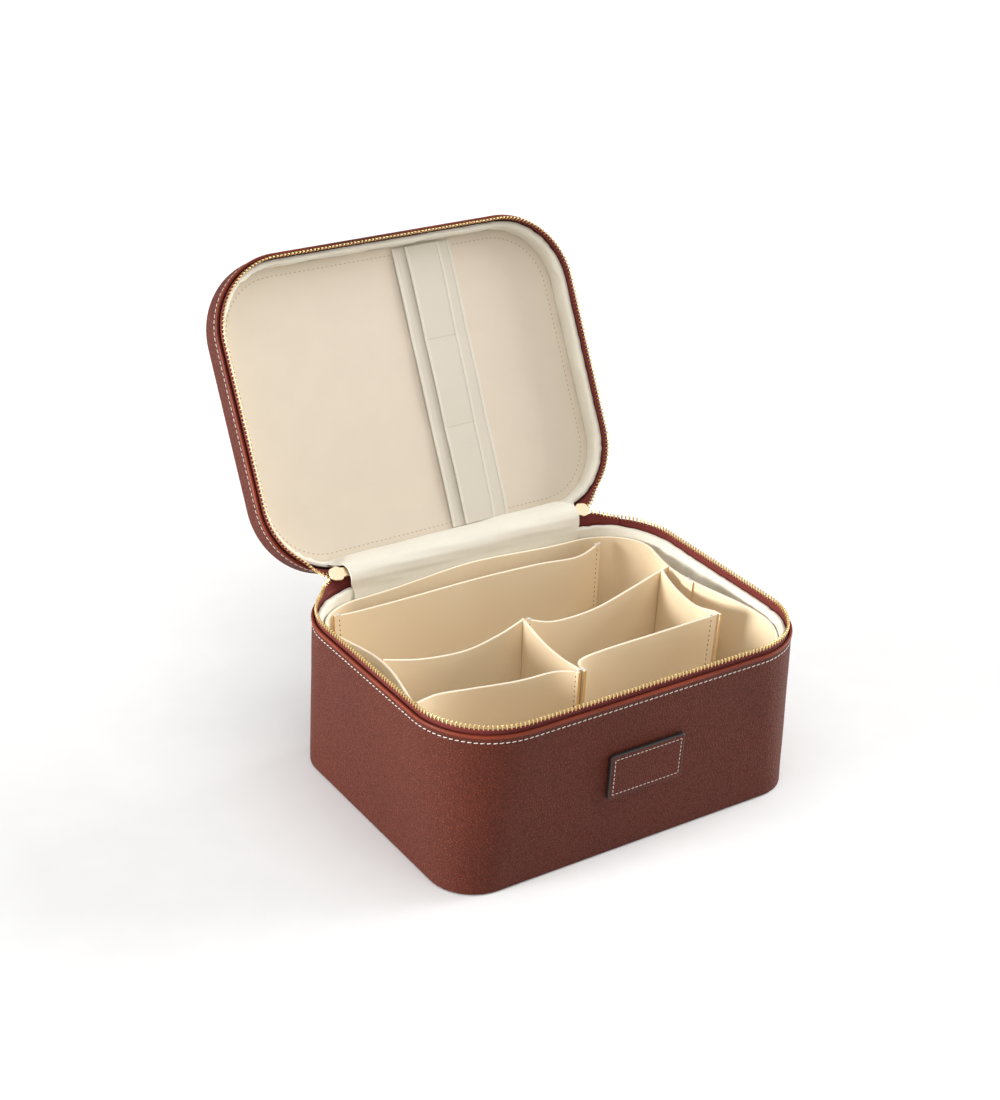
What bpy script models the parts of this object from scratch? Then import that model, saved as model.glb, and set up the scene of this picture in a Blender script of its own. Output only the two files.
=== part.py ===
"""A leather vanity case with a zip-around lid and a lift-out organiser, shown open.

X runs to the right along the front, Y to the back, where the lid is hinged, and Z up.
The origin is the middle of the underside. The lid's pieces are modelled closed, and an
empty on the hinge line turns them open. Lengths are in metres.
"""

import math

import bmesh
import bpy
from mathutils import Matrix, Vector

# Case, outside
CASE_WIDTH = 0.240
CASE_DEPTH = 0.185
RIM_HEIGHT = 0.0977
RIM_RADIUS = 0.045
FOOT_RADIUS = 0.026
FOOT_INSET = 0.004
LID_HEIGHT = 0.0187
LID_EDGE_RADIUS = 0.0032
LID_OPEN_DEGREES = 118

# Zip
ZIP_GAP = 0.0106
TAPE_THICKNESS = 0.0006
TAPE_TUCK = 0.009
CHAIN_THICKNESS = 0.0024
CHAIN_HEIGHT = 0.00285
SLIDER_FROM_SIDE = 0.036
SLIDER_TRAVEL = 0.006
SLIDER_CLEARANCE = 0.0005
CHAIN_CLEARANCE = 0.0015

# Layers of the walls
SEAT = 0.0003
LEATHER = 0.0014
RIM_FOLD_HEIGHT = 0.0043
RIM_FOLD_PROUD = 0.0004
TAPE_CLEARANCE = 0.0005
BOARD = 0.0016
SKIVE = 0.0011
BOARD_DROP = 0.0025
LINING = 0.0008
LINING_DROP = 0.0012
BOTTOM_PANEL = 0.0015
BOTTOM_PANEL_RADIUS = 0.0215
BOTTOM_PANEL_INSET = 0.0005
FLOOR_BOARD = 0.0020
FLOOR_PAD = 0.0020
LID_BOARD = 0.0018
LID_PANEL = 0.0012
LID_PANEL_INSET = 0.0066

# Tag patch on the front
TAG_WIDTH = 0.049
TAG_HEIGHT = 0.0272
TAG_THICKNESS = 0.0026
TAG_MIDDLE_HEIGHT = 0.052
TAG_CORNER = 0.0012

# Elastic bands across the lid panel
WIDE_BAND_WIDTH = 0.0395
WIDE_BAND_THICKNESS = 0.0009
NARROW_BAND_WIDTH = 0.0225
NARROW_BAND_THICKNESS = 0.0008
BAND_MIDDLE_X = 0.027
BAND_END_MARGIN = 0.0012
BAND_LOOPS = 3
BAND_BOW = 0.0006

# Hinge strips
HINGE_LEATHER = 0.0012
HINGE_LAP = 0.0150
LINING_TUCK = 0.0090
LINING_RISE = 0.0120
LINING_REACH = 0.0150
LINING_LIFT = 0.0026

# Sliders and pulls
SLIDER_LENGTH = 0.0120
SLIDER_WIDTH = 0.0086
SLIDER_PLATE = 0.0010
SLIDER_SLOT = 0.0038
SLIDER_NOSE_SHARE = 0.55
POST_LENGTH = 0.0040
POST_WIDTH = 0.0022
BAIL_RADIUS = 0.0026
BAIL_WIRE = 0.0005
BAIL_SINK = 0.0003
PIVOT_RISE = 0.00105
PULL_THICKNESS = 0.0010
PULL_LENGTH = 0.0240
PULL_HEAD_WIDTH = 0.0050
PULL_WIDTH = 0.0078
PULL_BAR = 0.0010
PULL_WINDOW_WIDTH = 0.0024
PULL_WINDOW_REACH = 0.0036
PULL_TIP_SHARE = 0.8
ZIP_STUB_LENGTH = 0.0117

# Organiser
SHEET = 0.0015
ORGANISER_DROP = 0.0033
BAND_CLEARANCE = 0.0004
END_CLEARANCE = 0.0004
RIGHT_BOW = 0.0125
LEFT_BOW = 0.0085
BOW_LENGTH = 0.0640
POCKET_DROP = 0.0050
DIVIDER_DROP = 0.0003
SCALLOP = 0.0095
BAND_SCALLOP = 0.0042

# Resolution
ARC_STEPS = 8
EDGE_STEPS = 3
BLEND_STEPS = 8
SHARP_DEGREES = 35
SHEET_STEPS = 18
OVERRUN = 0.001

# Where things follow from the sizes above
HALF_WIDTH = CASE_WIDTH / 2
HALF_DEPTH = CASE_DEPTH / 2
SLIDER_X = HALF_WIDTH - SLIDER_FROM_SIDE
ZIP_END_X = SLIDER_X + SLIDER_LENGTH / 2 + SLIDER_TRAVEL + CHAIN_CLEARANCE
STUB_END_X = SLIDER_X - SLIDER_LENGTH / 2 - SEAT
HINGE_HALF_WIDTH = STUB_END_X - ZIP_STUB_LENGTH - SEAT
LINING_HALF_WIDTH = SLIDER_X - SLIDER_LENGTH / 2 - SLIDER_CLEARANCE
AXIS_Y = HALF_DEPTH + RIM_FOLD_PROUD + SEAT + HINGE_LEATHER / 2
AXIS_Z = RIM_HEIGHT + ZIP_GAP / 2
LID_RIM = RIM_HEIGHT + ZIP_GAP
LID_TOP = LID_RIM + LID_HEIGHT
LID_OPEN = math.radians(LID_OPEN_DEGREES)
WALL_FOOT = BOTTOM_PANEL + SEAT
FLOOR_TOP = WALL_FOOT + FLOOR_BOARD
PAD_TOP = FLOOR_TOP + SEAT + FLOOR_PAD
TAPE_INSET = LEATHER + TAPE_CLEARANCE
BOARD_INSET = LEATHER + SEAT
SKIVED_INSET = BOARD_INSET + SKIVE
BOARD_BACK = SKIVED_INSET + BOARD
LINING_INSET = BOARD_BACK + SEAT
LINING_BACK = LINING_INSET + LINING
STRIP_INSET = LINING_BACK + SEAT
BAND_INSET = STRIP_INSET + LINING + BAND_CLEARANCE
TAPE_MIDDLE = TAPE_INSET + TAPE_THICKNESS / 2
PANEL_FACE = LID_TOP - LEATHER - SEAT - LID_BOARD - SEAT - LID_PANEL
ORGANISER_FOOT = PAD_TOP + SEAT
ORGANISER_TOP = RIM_HEIGHT - ORGANISER_DROP


def clear_scene():
    for item in list(bpy.data.objects):
        bpy.data.objects.remove(item)


def new_collection(name):
    group = bpy.data.collections.new(name)
    bpy.context.scene.collection.children.link(group)
    return group


def material(name, colour, roughness, metallic=0.0):
    made = bpy.data.materials.new(name)
    made.use_nodes = True
    shader = made.node_tree.nodes["Principled BSDF"]
    shader.inputs["Base Color"].default_value = (*colour, 1.0)
    shader.inputs["Roughness"].default_value = roughness
    shader.inputs["Metallic"].default_value = metallic
    return made


def add_object(name, mesh, finish, parent=None, group=None):
    item = bpy.data.objects.new(name, mesh)
    (group or PARTS).objects.link(item)
    if finish:
        mesh.materials.append(finish)
    item.parent = parent
    return item


def mesh_from(name, build):
    """A mesh whose faces are made by build(bm) and turned to face outwards."""
    work = bmesh.new()
    build(work)
    bmesh.ops.recalc_face_normals(work, faces=work.faces)
    mesh = bpy.data.meshes.new(name)
    work.to_mesh(mesh)
    work.free()
    mesh.shade_smooth()
    mesh.set_sharp_from_angle(angle=math.radians(SHARP_DEGREES))
    return mesh


def hinge_empty(name, location, turn):
    """An empty on a joint's axis, turned about X from the closed place."""
    item = bpy.data.objects.new(name, None)
    PARTS.objects.link(item)
    item.location = location
    item.rotation_euler.x = turn
    return item


# Outlines of the case
def case_size(height):
    """Half width, half depth and corner radius of the outside at a height."""
    share = min(max(height / RIM_HEIGHT, 0), 1)
    shrink = FOOT_INSET * (1 - share)
    radius = FOOT_RADIUS + (RIM_RADIUS - FOOT_RADIUS) * share
    return HALF_WIDTH - shrink, HALF_DEPTH - shrink, radius


def lid_size(height):
    return HALF_WIDTH, HALF_DEPTH, RIM_RADIUS


def bottom_panel_size(height):
    half_x, half_y, radius = case_size(0)
    return half_x, half_y, BOTTOM_PANEL_RADIUS


def outline(size, height, inset, start_x=0):
    """Points round the case from the back, by the left, front and right, and back again.

    With start_x, the line starts and ends that far from the middle of the back, so it is
    left open there. Otherwise its first and last points are neighbours on the back.
    """
    half_x, half_y, radius = size(height)
    corner_x = half_x - radius
    corner_y = half_y - radius
    reach = radius - inset
    trim = math.asin(min(max((start_x - corner_x) / reach, 0), 1))
    points = []
    corners = [(-corner_x, corner_y), (-corner_x, -corner_y), (corner_x, -corner_y), (corner_x, corner_y)]
    for index, (x, y) in enumerate(corners):
        first = math.pi / 2 * (index + 1)
        last = first + math.pi / 2
        if index == 0:
            first += trim
        if index == len(corners) - 1:
            last -= trim
        for step in range(ARC_STEPS + 1):
            angle = first + (last - first) * step / ARC_STEPS
            points.append(Vector((x + reach * math.cos(angle), y + reach * math.sin(angle), height)))
    return points


def wrap(profile, size, start_x=0, capped=False):
    """Faces that carry a profile of (inset, height) points round the case.

    A plain profile is a closed line. A capped one is an open line whose two end loops are
    filled. With start_x, the run is open at the hinge and its two ends are filled.
    """

    def build(work):
        loops = [
            [work.verts.new(point) for point in outline(size, height, inset, start_x)]
            for inset, height in profile
        ]
        count = len(loops[0])
        rows = len(loops) - 1 if capped else len(loops)
        columns = count - 1 if start_x else count
        for row in range(rows):
            near = loops[row]
            far = loops[(row + 1) % len(loops)]
            for column in range(columns):
                beside = (column + 1) % count
                work.faces.new((near[column], near[beside], far[beside], far[column]))
        if capped:
            work.faces.new(loops[0])
            work.faces.new(loops[-1])
        if start_x:
            work.faces.new([loop[0] for loop in loops])
            work.faces.new([loop[-1] for loop in loops])

    return build


def prism(outline_points, low, high, axis):
    """A flat outline of two coordinates, carried along an axis from low to high."""

    def place(point, along):
        spot = list(point)
        spot.insert(axis, along)
        return spot

    def build(work):
        near = [work.verts.new(place(point, low)) for point in outline_points]
        far = [work.verts.new(place(point, high)) for point in outline_points]
        work.faces.new(near)
        work.faces.new(far)
        for index in range(len(near)):
            beside = (index + 1) % len(near)
            work.faces.new((near[index], near[beside], far[beside], far[index]))

    return build


def grid(rows):
    """An open surface through rows of points, to be thickened by Solidify."""

    def build(work):
        lines = [[work.verts.new(point) for point in row] for row in rows]
        for near, far in zip(lines, lines[1:]):
            for index in range(len(near) - 1):
                work.faces.new((near[index], near[index + 1], far[index + 1], far[index]))

    return build


def thicken(item, thickness):
    solid = item.modifiers.new("Thickness", "SOLIDIFY")
    solid.thickness = thickness
    solid.offset = 0
    solid.use_even_offset = True
    return item


def bend_share(share):
    """Eases from 0 to 1."""
    share = min(max(share, 0), 1)
    return share * share * (3 - 2 * share)


def lid_point(y, z):
    """Where a point of the closed lid lies when the lid is open, both from the hinge line."""
    return turned(y, z, LID_OPEN)


def turned(y, z, angle):
    cosine = math.cos(angle)
    sine = math.sin(angle)
    return AXIS_Y + y * cosine + z * sine, AXIS_Z - y * sine + z * cosine


# Case
def make_bottom():
    foot = [(BOTTOM_PANEL_INSET, 0), (BOTTOM_PANEL_INSET, BOTTOM_PANEL)]
    add_object("bottom_panel", mesh_from("bottom_panel", wrap(foot, bottom_panel_size, capped=True)), EDGE_PAINT)
    board = [(BOARD_INSET, WALL_FOOT), (BOARD_INSET, FLOOR_TOP)]
    add_object("floor_board", mesh_from("floor_board", wrap(board, case_size, capped=True)), CARD)
    pad = [(STRIP_INSET, FLOOR_TOP + SEAT), (STRIP_INSET, PAD_TOP)]
    add_object("floor_lining", mesh_from("floor_lining", wrap(pad, case_size, capped=True)), CLOTH)


def folded_rim(edge, away):
    """Profile points of a leather wall's turned edge, from its outside to its inside.

    The edge is the rim's height, and away is +1 where the wall lies above it, -1 below.
    """
    fold = edge + away * RIM_FOLD_HEIGHT
    half = LEATHER / 2
    rounded = [(0, fold), (-RIM_FOLD_PROUD, fold - away * half)]
    for step in range(EDGE_STEPS + 1):
        angle = math.pi * step / EDGE_STEPS
        inset = half - (half + RIM_FOLD_PROUD * (1 - step / EDGE_STEPS)) * math.cos(angle)
        rounded.append((inset, edge + away * half * (1 - math.sin(angle))))
    return rounded


def make_walls():
    leather = [(LEATHER, WALL_FOOT), (0, WALL_FOOT)] + folded_rim(RIM_HEIGHT, -1)
    add_object("wall_leather", mesh_from("wall_leather", wrap(leather, case_size)), HIDE)
    skive_height = RIM_HEIGHT - TAPE_TUCK - SEAT
    board_top = RIM_HEIGHT - BOARD_DROP
    board = [
        (BOARD_BACK, FLOOR_TOP + SEAT),
        (BOARD_INSET, FLOOR_TOP + SEAT),
        (BOARD_INSET, skive_height),
        (SKIVED_INSET, skive_height),
        (SKIVED_INSET, board_top),
        (BOARD_BACK, board_top),
    ]
    add_object("wall_board", mesh_from("wall_board", wrap(board, case_size)), CARD)
    lining = [
        (LINING_BACK, FLOOR_TOP + SEAT),
        (LINING_INSET, FLOOR_TOP + SEAT),
        (LINING_INSET, RIM_HEIGHT - LINING_DROP),
        (LINING_BACK, RIM_HEIGHT - LINING_DROP),
    ]
    add_object("wall_lining", mesh_from("wall_lining", wrap(lining, case_size)), CLOTH)


def zip_half(prefix, rim, away, size, parent):
    """Tape and chain of one side; away is +1 where the wall lies above the zip."""
    tip = rim + away * -(ZIP_GAP / 2 - SEAT / 2)
    chain_foot = tip + away * CHAIN_HEIGHT
    tape_top = chain_foot + away * SEAT
    tape_foot = rim + away * TAPE_TUCK
    tape_back = TAPE_INSET + TAPE_THICKNESS
    tape = [(TAPE_INSET, tape_foot), (TAPE_INSET, tape_top), (tape_back, tape_top), (tape_back, tape_foot)]
    name = prefix + "_zip_tape"
    add_object(name, mesh_from(name, wrap(tape, size, ZIP_END_X)), TAPE, parent)
    near = TAPE_MIDDLE - CHAIN_THICKNESS / 2
    far = TAPE_MIDDLE + CHAIN_THICKNESS / 2
    chain = [(near, chain_foot), (near, tip), (far, tip), (far, chain_foot)]
    name = prefix + "_zip_chain"
    add_object(name, mesh_from(name, wrap(chain, size, ZIP_END_X)), BRASS, parent)


def make_tag():
    """The bare leather patch, which leans with the front wall behind it."""
    lean = math.atan(FOOT_INSET / RIM_HEIGHT)
    half_x = TAG_WIDTH / 2
    half_z = TAG_HEIGHT / 2
    corners = [
        (-half_x + TAG_CORNER, -half_z),
        (half_x - TAG_CORNER, -half_z),
        (half_x, -half_z + TAG_CORNER),
        (half_x, half_z - TAG_CORNER),
        (half_x - TAG_CORNER, half_z),
        (-half_x + TAG_CORNER, half_z),
        (-half_x, half_z - TAG_CORNER),
        (-half_x, -half_z + TAG_CORNER),
    ]
    mesh = mesh_from("tag_patch", prism(corners, -SEAT - TAG_THICKNESS, -SEAT, 1))
    tag = add_object("tag_patch", mesh, HIDE)
    front = case_size(TAG_MIDDLE_HEIGHT)[1]
    tag.location = (0, -front, TAG_MIDDLE_HEIGHT)
    tag.rotation_euler.x = lean
    return tag


# Lid, modelled closed
def make_lid(parent):
    seam = LID_TOP - LID_EDGE_RADIUS
    wall = [(LEATHER, seam), (0, seam)] + folded_rim(LID_RIM, 1)
    lid_piece("lid_wall_leather", wrap(wall, lid_size), HIDE, parent)

    outer = []
    inner = []
    for step in range(EDGE_STEPS + 1):
        angle = math.pi / 2 * step / EDGE_STEPS
        bend = LID_EDGE_RADIUS - SEAT
        outer.append((bend * (1 - math.cos(angle)), seam + SEAT + bend * math.sin(angle)))
        inner_bend = bend - LEATHER
        inner.append((LEATHER + inner_bend * (1 - math.cos(angle)), seam + SEAT + inner_bend * math.sin(angle)))
    lid_piece("lid_top_leather", wrap(inner[::-1] + outer, lid_size, capped=True), HIDE, parent)

    board_top = LID_TOP - LEATHER - SEAT
    board_foot = board_top - LID_BOARD
    board_inset = BOARD_INSET + LID_EDGE_RADIUS / 2
    board = [(board_inset, board_foot), (board_inset, board_top)]
    lid_piece("lid_top_board", wrap(board, lid_size, capped=True), CARD, parent)

    skive_height = LID_RIM + TAPE_TUCK + SEAT
    ring_top = board_foot - SEAT
    ring_foot = LID_RIM + BOARD_DROP
    ring = [
        (BOARD_BACK, ring_foot),
        (SKIVED_INSET, ring_foot),
        (SKIVED_INSET, skive_height),
        (BOARD_INSET, skive_height),
        (BOARD_INSET, ring_top),
        (BOARD_BACK, ring_top),
    ]
    lid_piece("lid_wall_board", wrap(ring, lid_size), CARD, parent)

    lining = [
        (LINING_BACK, LID_RIM + LINING_DROP),
        (LINING_INSET, LID_RIM + LINING_DROP),
        (LINING_INSET, ring_top),
        (LINING_BACK, ring_top),
    ]
    lid_piece("lid_wall_lining", wrap(lining, lid_size), CLOTH, parent)

    panel = [(LID_PANEL_INSET, PANEL_FACE), (LID_PANEL_INSET, PANEL_FACE + LID_PANEL)]
    lid_piece("lid_panel", wrap(panel, lid_size, capped=True), SUEDE, parent)
    zip_half("lid", LID_RIM, 1, lid_size, parent)
    for name in ("lid_zip_tape", "lid_zip_chain"):
        drop_to_axis(bpy.data.objects[name])


def lid_piece(name, build, finish, parent):
    item = add_object(name, mesh_from(name, build), finish, parent)
    drop_to_axis(item)
    return item


def drop_to_axis(item):
    """Moves a mesh built in the closed case's frame so that its origin is on the hinge line."""
    item.data.transform(AXIS_SHIFT)


def elastic(name, width, thickness, face, finish, parent):
    """A band across the lid panel, sewn down between its loops, each bowed a little."""
    reach = HALF_DEPTH - LID_PANEL_INSET - BAND_END_MARGIN
    steps = BAND_LOOPS * EDGE_STEPS * 2
    rows = []
    for step in range(steps + 1):
        share = step / steps
        bow = BAND_BOW * abs(math.sin(math.pi * BAND_LOOPS * share))
        y = -reach + 2 * reach * share
        height = face - thickness / 2 - bow
        left = BAND_MIDDLE_X - width / 2
        rows.append([Vector((left, y, height)), Vector((left + width, y, height))])
    item = add_object(name, mesh_from(name, grid(rows)), finish, parent)
    drop_to_axis(item)
    return thicken(item, thickness)


# Hinge strips, in their shape with the lid open
def ribbon(name, path, half_width, thickness, finish):
    rows = [[Vector((-half_width, y, z)), Vector((half_width, y, z))] for y, z in path]
    return thicken(add_object(name, mesh_from(name, grid(rows)), finish), thickness)


def wall_line(height, inset):
    """Y of the back wall at a height, so far in from the outside."""
    return case_size(height)[1] - inset


def make_hinge_strips():
    outside = HALF_DEPTH - AXIS_Y
    low = RIM_HEIGHT - HINGE_LAP
    path = [(wall_line(low, outside), low)]
    for step in range(BLEND_STEPS + 1):
        share = step / BLEND_STEPS
        z = (share - 1 / 2) * ZIP_GAP
        path.append(turned(0, z, LID_OPEN * bend_share(share)))
    path.append(lid_point(0, ZIP_GAP / 2 + LID_HEIGHT - LID_EDGE_RADIUS - HINGE_LAP / 4))
    ribbon("hinge_leather", path, HINGE_HALF_WIDTH, HINGE_LEATHER, HIDE)

    inset = STRIP_INSET + LINING / 2
    tuck = RIM_HEIGHT - LINING_TUCK
    start = (wall_line(RIM_HEIGHT, inset), RIM_HEIGHT)
    panel_edge_y = HALF_DEPTH - inset - LINING - AXIS_Y
    panel_edge_z = PANEL_FACE - LINING - AXIS_Z
    end = lid_point(panel_edge_y, panel_edge_z)
    lift = (start[0], start[1] + LINING_RISE)
    reach = lid_point(panel_edge_y - LINING_LIFT, panel_edge_z - LINING_REACH)
    path = [(wall_line(tuck, inset), tuck)]
    for step in range(BLEND_STEPS + 1):
        share = step / BLEND_STEPS
        weights = [
            (1 - share) ** 3,
            3 * (1 - share) ** 2 * share,
            3 * (1 - share) * share ** 2,
            share ** 3,
        ]
        knots = (start, lift, reach, end)
        y = sum(weight * knot[0] for weight, knot in zip(weights, knots))
        z = sum(weight * knot[1] for weight, knot in zip(weights, knots))
        path.append((y, z))
    ribbon("hinge_lining", path, LINING_HALF_WIDTH, LINING, CLOTH)


# Zip ends, sliders and pulls, modelled as with the lid closed
def shield(length, width, nose_share, side):
    """A slider plate's outline, wide towards the open zip and narrow behind."""
    half = width / 2
    nose = half * nose_share
    front = side * length / 2
    shoulder = side * length / 4
    return [(front, nose), (shoulder, half), (-shoulder, half), (-front, nose),
            (-front, -nose), (-shoulder, -half), (shoulder, -half), (front, -nose)]


def boolean(item, other, operation):
    cut = item.modifiers.new(operation.title(), "BOOLEAN")
    cut.operation = operation
    cut.object = other
    other.hide_render = True
    other.display_type = "WIRE"


def tool(name, build, parent):
    """A body that is joined to a piece or cut from it, and isn't itself a piece."""
    return add_object(name, mesh_from(name, build), None, parent, TOOLS)


def make_slider(name, side, parent):
    half_slot = SLIDER_SLOT / 2
    plate = shield(SLIDER_LENGTH, SLIDER_WIDTH, SLIDER_NOSE_SHARE, side)
    inner = prism(plate, -half_slot - SLIDER_PLATE, -half_slot, 1)
    slider = add_object(name, mesh_from(name, inner), BRASS, parent)
    outer = tool(name + "_outer_plate", prism(plate, half_slot, half_slot + SLIDER_PLATE, 1), parent)
    post_outline = shield(POST_LENGTH, POST_WIDTH, SLIDER_NOSE_SHARE, side)
    post_end = half_slot + SLIDER_PLATE / 2
    post = tool(name + "_post", prism(post_outline, -post_end, post_end, 1), parent)
    foot = half_slot + SLIDER_PLATE - BAIL_SINK
    steps = ARC_STEPS
    outer_arc = []
    inner_arc = []
    for step in range(steps + 1):
        angle = math.pi * step / steps
        for arc, radius in ((outer_arc, BAIL_RADIUS + BAIL_WIRE), (inner_arc, BAIL_RADIUS - BAIL_WIRE)):
            arc.append((radius * math.cos(angle), foot + BAIL_SINK + radius * math.sin(angle)))
    ends = [(-(BAIL_RADIUS + BAIL_WIRE), foot), (-(BAIL_RADIUS - BAIL_WIRE), foot)]
    start = [((BAIL_RADIUS - BAIL_WIRE), foot), ((BAIL_RADIUS + BAIL_WIRE), foot)]
    bail_outline = outer_arc + ends + inner_arc[::-1] + start
    bail = tool(name + "_bail", prism(bail_outline, -BAIL_WIRE, BAIL_WIRE, 2), parent)
    for other in (post, outer, bail):
        boolean(slider, other, "UNION")
    return slider


def make_pull(name, parent):
    """A flat pull with a window in its head, whose cross bar turns under the slider's bail."""
    head = PULL_HEAD_WIDTH / 2
    half = PULL_WIDTH / 2
    tip = half * PULL_TIP_SHARE
    bar = PULL_BAR / 2
    neck = PULL_WINDOW_REACH + PULL_BAR
    shoulder = neck + half
    tab = [(-bar, -head), (neck, -head), (shoulder, -half), (PULL_LENGTH - half / 2, -half),
           (PULL_LENGTH, -tip), (PULL_LENGTH, tip), (PULL_LENGTH - half / 2, half),
           (shoulder, half), (neck, head), (-bar, head)]
    thick = PULL_THICKNESS / 2
    pull = add_object(name, mesh_from(name, prism(tab, -thick, thick, 0)), BRASS, parent)
    hole = PULL_WINDOW_WIDTH / 2
    window = [(bar, -hole), (PULL_WINDOW_REACH, -hole), (PULL_WINDOW_REACH, hole), (bar, hole)]
    cutter = tool(name + "_window", prism(window, -thick - OVERRUN, thick + OVERRUN, 0), parent)
    boolean(pull, cutter, "DIFFERENCE")
    return pull


def make_zip_end(name, side, parent):
    """The closed end of the zip between the slider and the hinge: joined tapes and teeth."""
    thin = TAPE_THICKNESS / 2
    thick = CHAIN_THICKNESS / 2
    tall = SLIDER_WIDTH / 2
    teeth = POST_WIDTH
    cross = [(-thin, -tall), (thin, -tall), (thin, -teeth), (thick, -teeth), (thick, teeth), (thin, teeth),
             (thin, tall), (-thin, tall), (-thin, teeth), (-thick, teeth), (-thick, -teeth), (-thin, -teeth)]
    ends = sorted((side * STUB_END_X, side * (STUB_END_X - ZIP_STUB_LENGTH)))
    return add_object(name, mesh_from(name, prism(cross, ends[0], ends[1], 0)), TAPE, parent)


def make_zip_ends():
    for label, side in (("left", -1), ("right", 1)):
        turn = hinge_empty("zip_end_turn_" + label, (0, AXIS_Y, AXIS_Z), -LID_OPEN / 2)
        make_zip_end("zip_end_" + label, side, turn)
        carrier = hinge_empty("slider_place_" + label, (side * SLIDER_X, 0, 0), 0)
        carrier.parent = turn
        make_slider("slider_" + label, side, carrier)
        pivot = hinge_empty("pull_pivot_" + label, (0, SLIDER_SLOT / 2 + SLIDER_PLATE + PIVOT_RISE, 0), 0)
        pivot.parent = carrier
        make_pull("pull_" + label, pivot)


# Organiser: sheets of soft board, sewn together where they meet
def inner_size(height):
    """Half width and half depth inside the organiser's band at a height."""
    half_x, half_y, radius = case_size(height)
    inset = BAND_INSET + SHEET + SEAT
    return half_x - inset, half_y - inset


def bow(y, middle_share, reach):
    """How far the band is drawn in from the wall at a place along a side."""
    away = (y - middle_share * HALF_DEPTH) / BOW_LENGTH
    if abs(away) >= 1:
        return 0
    return reach * (1 + math.cos(math.pi * away)) / 2


def band_point(point):
    if point.x > 0:
        return Vector((point.x - bow(point.y, RIGHT_BOW_SHARE, RIGHT_BOW), point.y, point.z))
    return Vector((point.x + bow(point.y, LEFT_BOW_SHARE, LEFT_BOW), point.y, point.z))


def band_line(height, inset):
    """The band's line at a height, once round from its seam on the right."""
    points = [band_point(point) for point in fine_outline(height, inset)]
    seam = min(range(len(points)), key=lambda index: (points[index].x < 0, abs(points[index].y)))
    line = points[seam:] + points[:seam + 1]
    step = (line[-2] - line[-1]).normalized()
    line[-1] = line[-1] + step * SEAT
    return line


def fine_outline(height, inset):
    """The outline with its straight sides divided as well, so that they can bow."""
    points = outline(case_size, height, inset)
    fine = []
    for index, point in enumerate(points):
        fine.append(point)
        if (index + 1) % (ARC_STEPS + 1) == 0:
            beside = points[(index + 1) % len(points)]
            for step in range(1, SIDE_STEPS):
                fine.append(point.lerp(beside, step / SIDE_STEPS))
    return fine


RIGHT_BOW_SHARE = 0.13
LEFT_BOW_SHARE = 0.14
SIDE_STEPS = 8

# Points of each divider, as shares of the room inside the band, with the top's drop at each.
# A place across of -1 or +1 lies against the band on that side.
MID_LEFT_SHARES = [
    (-1, 0.150, 0), (-0.758, 0.150, 0.7), (-0.488, 0.152, 1), (-0.271, 0.150, 0.6), (-0.117, 0.146, 0),
]
MID_RIGHT_SHARES = [
    (-0.0956, 0.146, 0), (0.11, 0.160, 0.8), (0.419, 0.200, 1), (0.715, 0.250, 0.6), (1, 0.290, 0),
]
CENTRE_SHARES = [
    (-0.1063, 0.160, 0), (-0.119, -0.10, 0.35), (-0.131, -0.35, 0.3), (-0.1405, -0.520, 0.05), (-0.1415, -0.595, 0),
]
RIGHT_SHARES = [(0.949, 0.265, 0), (0.916, 0.02, 0.4), (0.85, -0.22, 0.35), (0.825, -0.400, 0), (0.825, -0.455, 0)]
FRONT_RIGHT_SHARES = [
    (-0.124, -0.620, 0), (-0.120, -0.57, 0.1), (-0.065, -0.455, 0.2), (0.11, -0.40, 0.35),
    (0.46, -0.385, 0.4), (0.70, -0.41, 0.2), (0.806, -0.440, 0),
]
FRONT_LEFT_SHARES = [
    (-0.159, -0.620, 0), (-0.165, -0.57, 0.1), (-0.241, -0.48, 0.3), (-0.425, -0.43, 0.5),
    (-0.673, -0.36, 0.5), (-0.866, -0.36, 0.2), (-1, -0.415, 0),
]
POCKET_SHARES = [
    (-0.880, 0.900, 0), (-0.74, 0.905, 0.25), (-0.45, 0.915, 0.4), (0, 0.92, 0.4),
    (0.38, 0.90, 0.5), (0.62, 0.865, 0.6), (0.795, 0.915, 0),
]


def inside_band(across, along, height):
    """The point at these shares of the room inside the band at a height."""
    half_x, half_y = inner_size(height)
    y = along * half_y
    if across < 0:
        room = half_x - bow(y, LEFT_BOW_SHARE, LEFT_BOW)
    else:
        room = half_x - bow(y, RIGHT_BOW_SHARE, RIGHT_BOW)
    return Vector((across * (room - END_CLEARANCE), y, height))


def smooth(points, steps):
    """A smooth line through points, with as many places as steps, plus one."""
    count = len(points) - 1
    line = []
    for step in range(steps + 1):
        along = step / steps * count
        index = min(int(along), count - 1)
        t = along - index
        before = points[max(index - 1, 0)]
        start = points[index]
        end = points[index + 1]
        after = points[min(index + 2, count)]
        line.append(tuple(
            (2 * b + (c - a) * t + (2 * a - 5 * b + 4 * c - d) * t * t + (3 * b - a - 3 * c + d) * t ** 3) / 2
            for a, b, c, d in zip(before, start, end, after)
        ))
    return line


def divider(name, shares, top, scallop):
    rows = []
    for across, along, dip in smooth(shares, SHEET_STEPS):
        height = top - scallop * max(dip, 0)
        rows.append([inside_band(across, along, z) for z in (ORGANISER_FOOT, height)])
    return thicken(add_object(name, mesh_from(name, grid(rows)), BOARD_SKIN, ORGANISER), SHEET)


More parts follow.
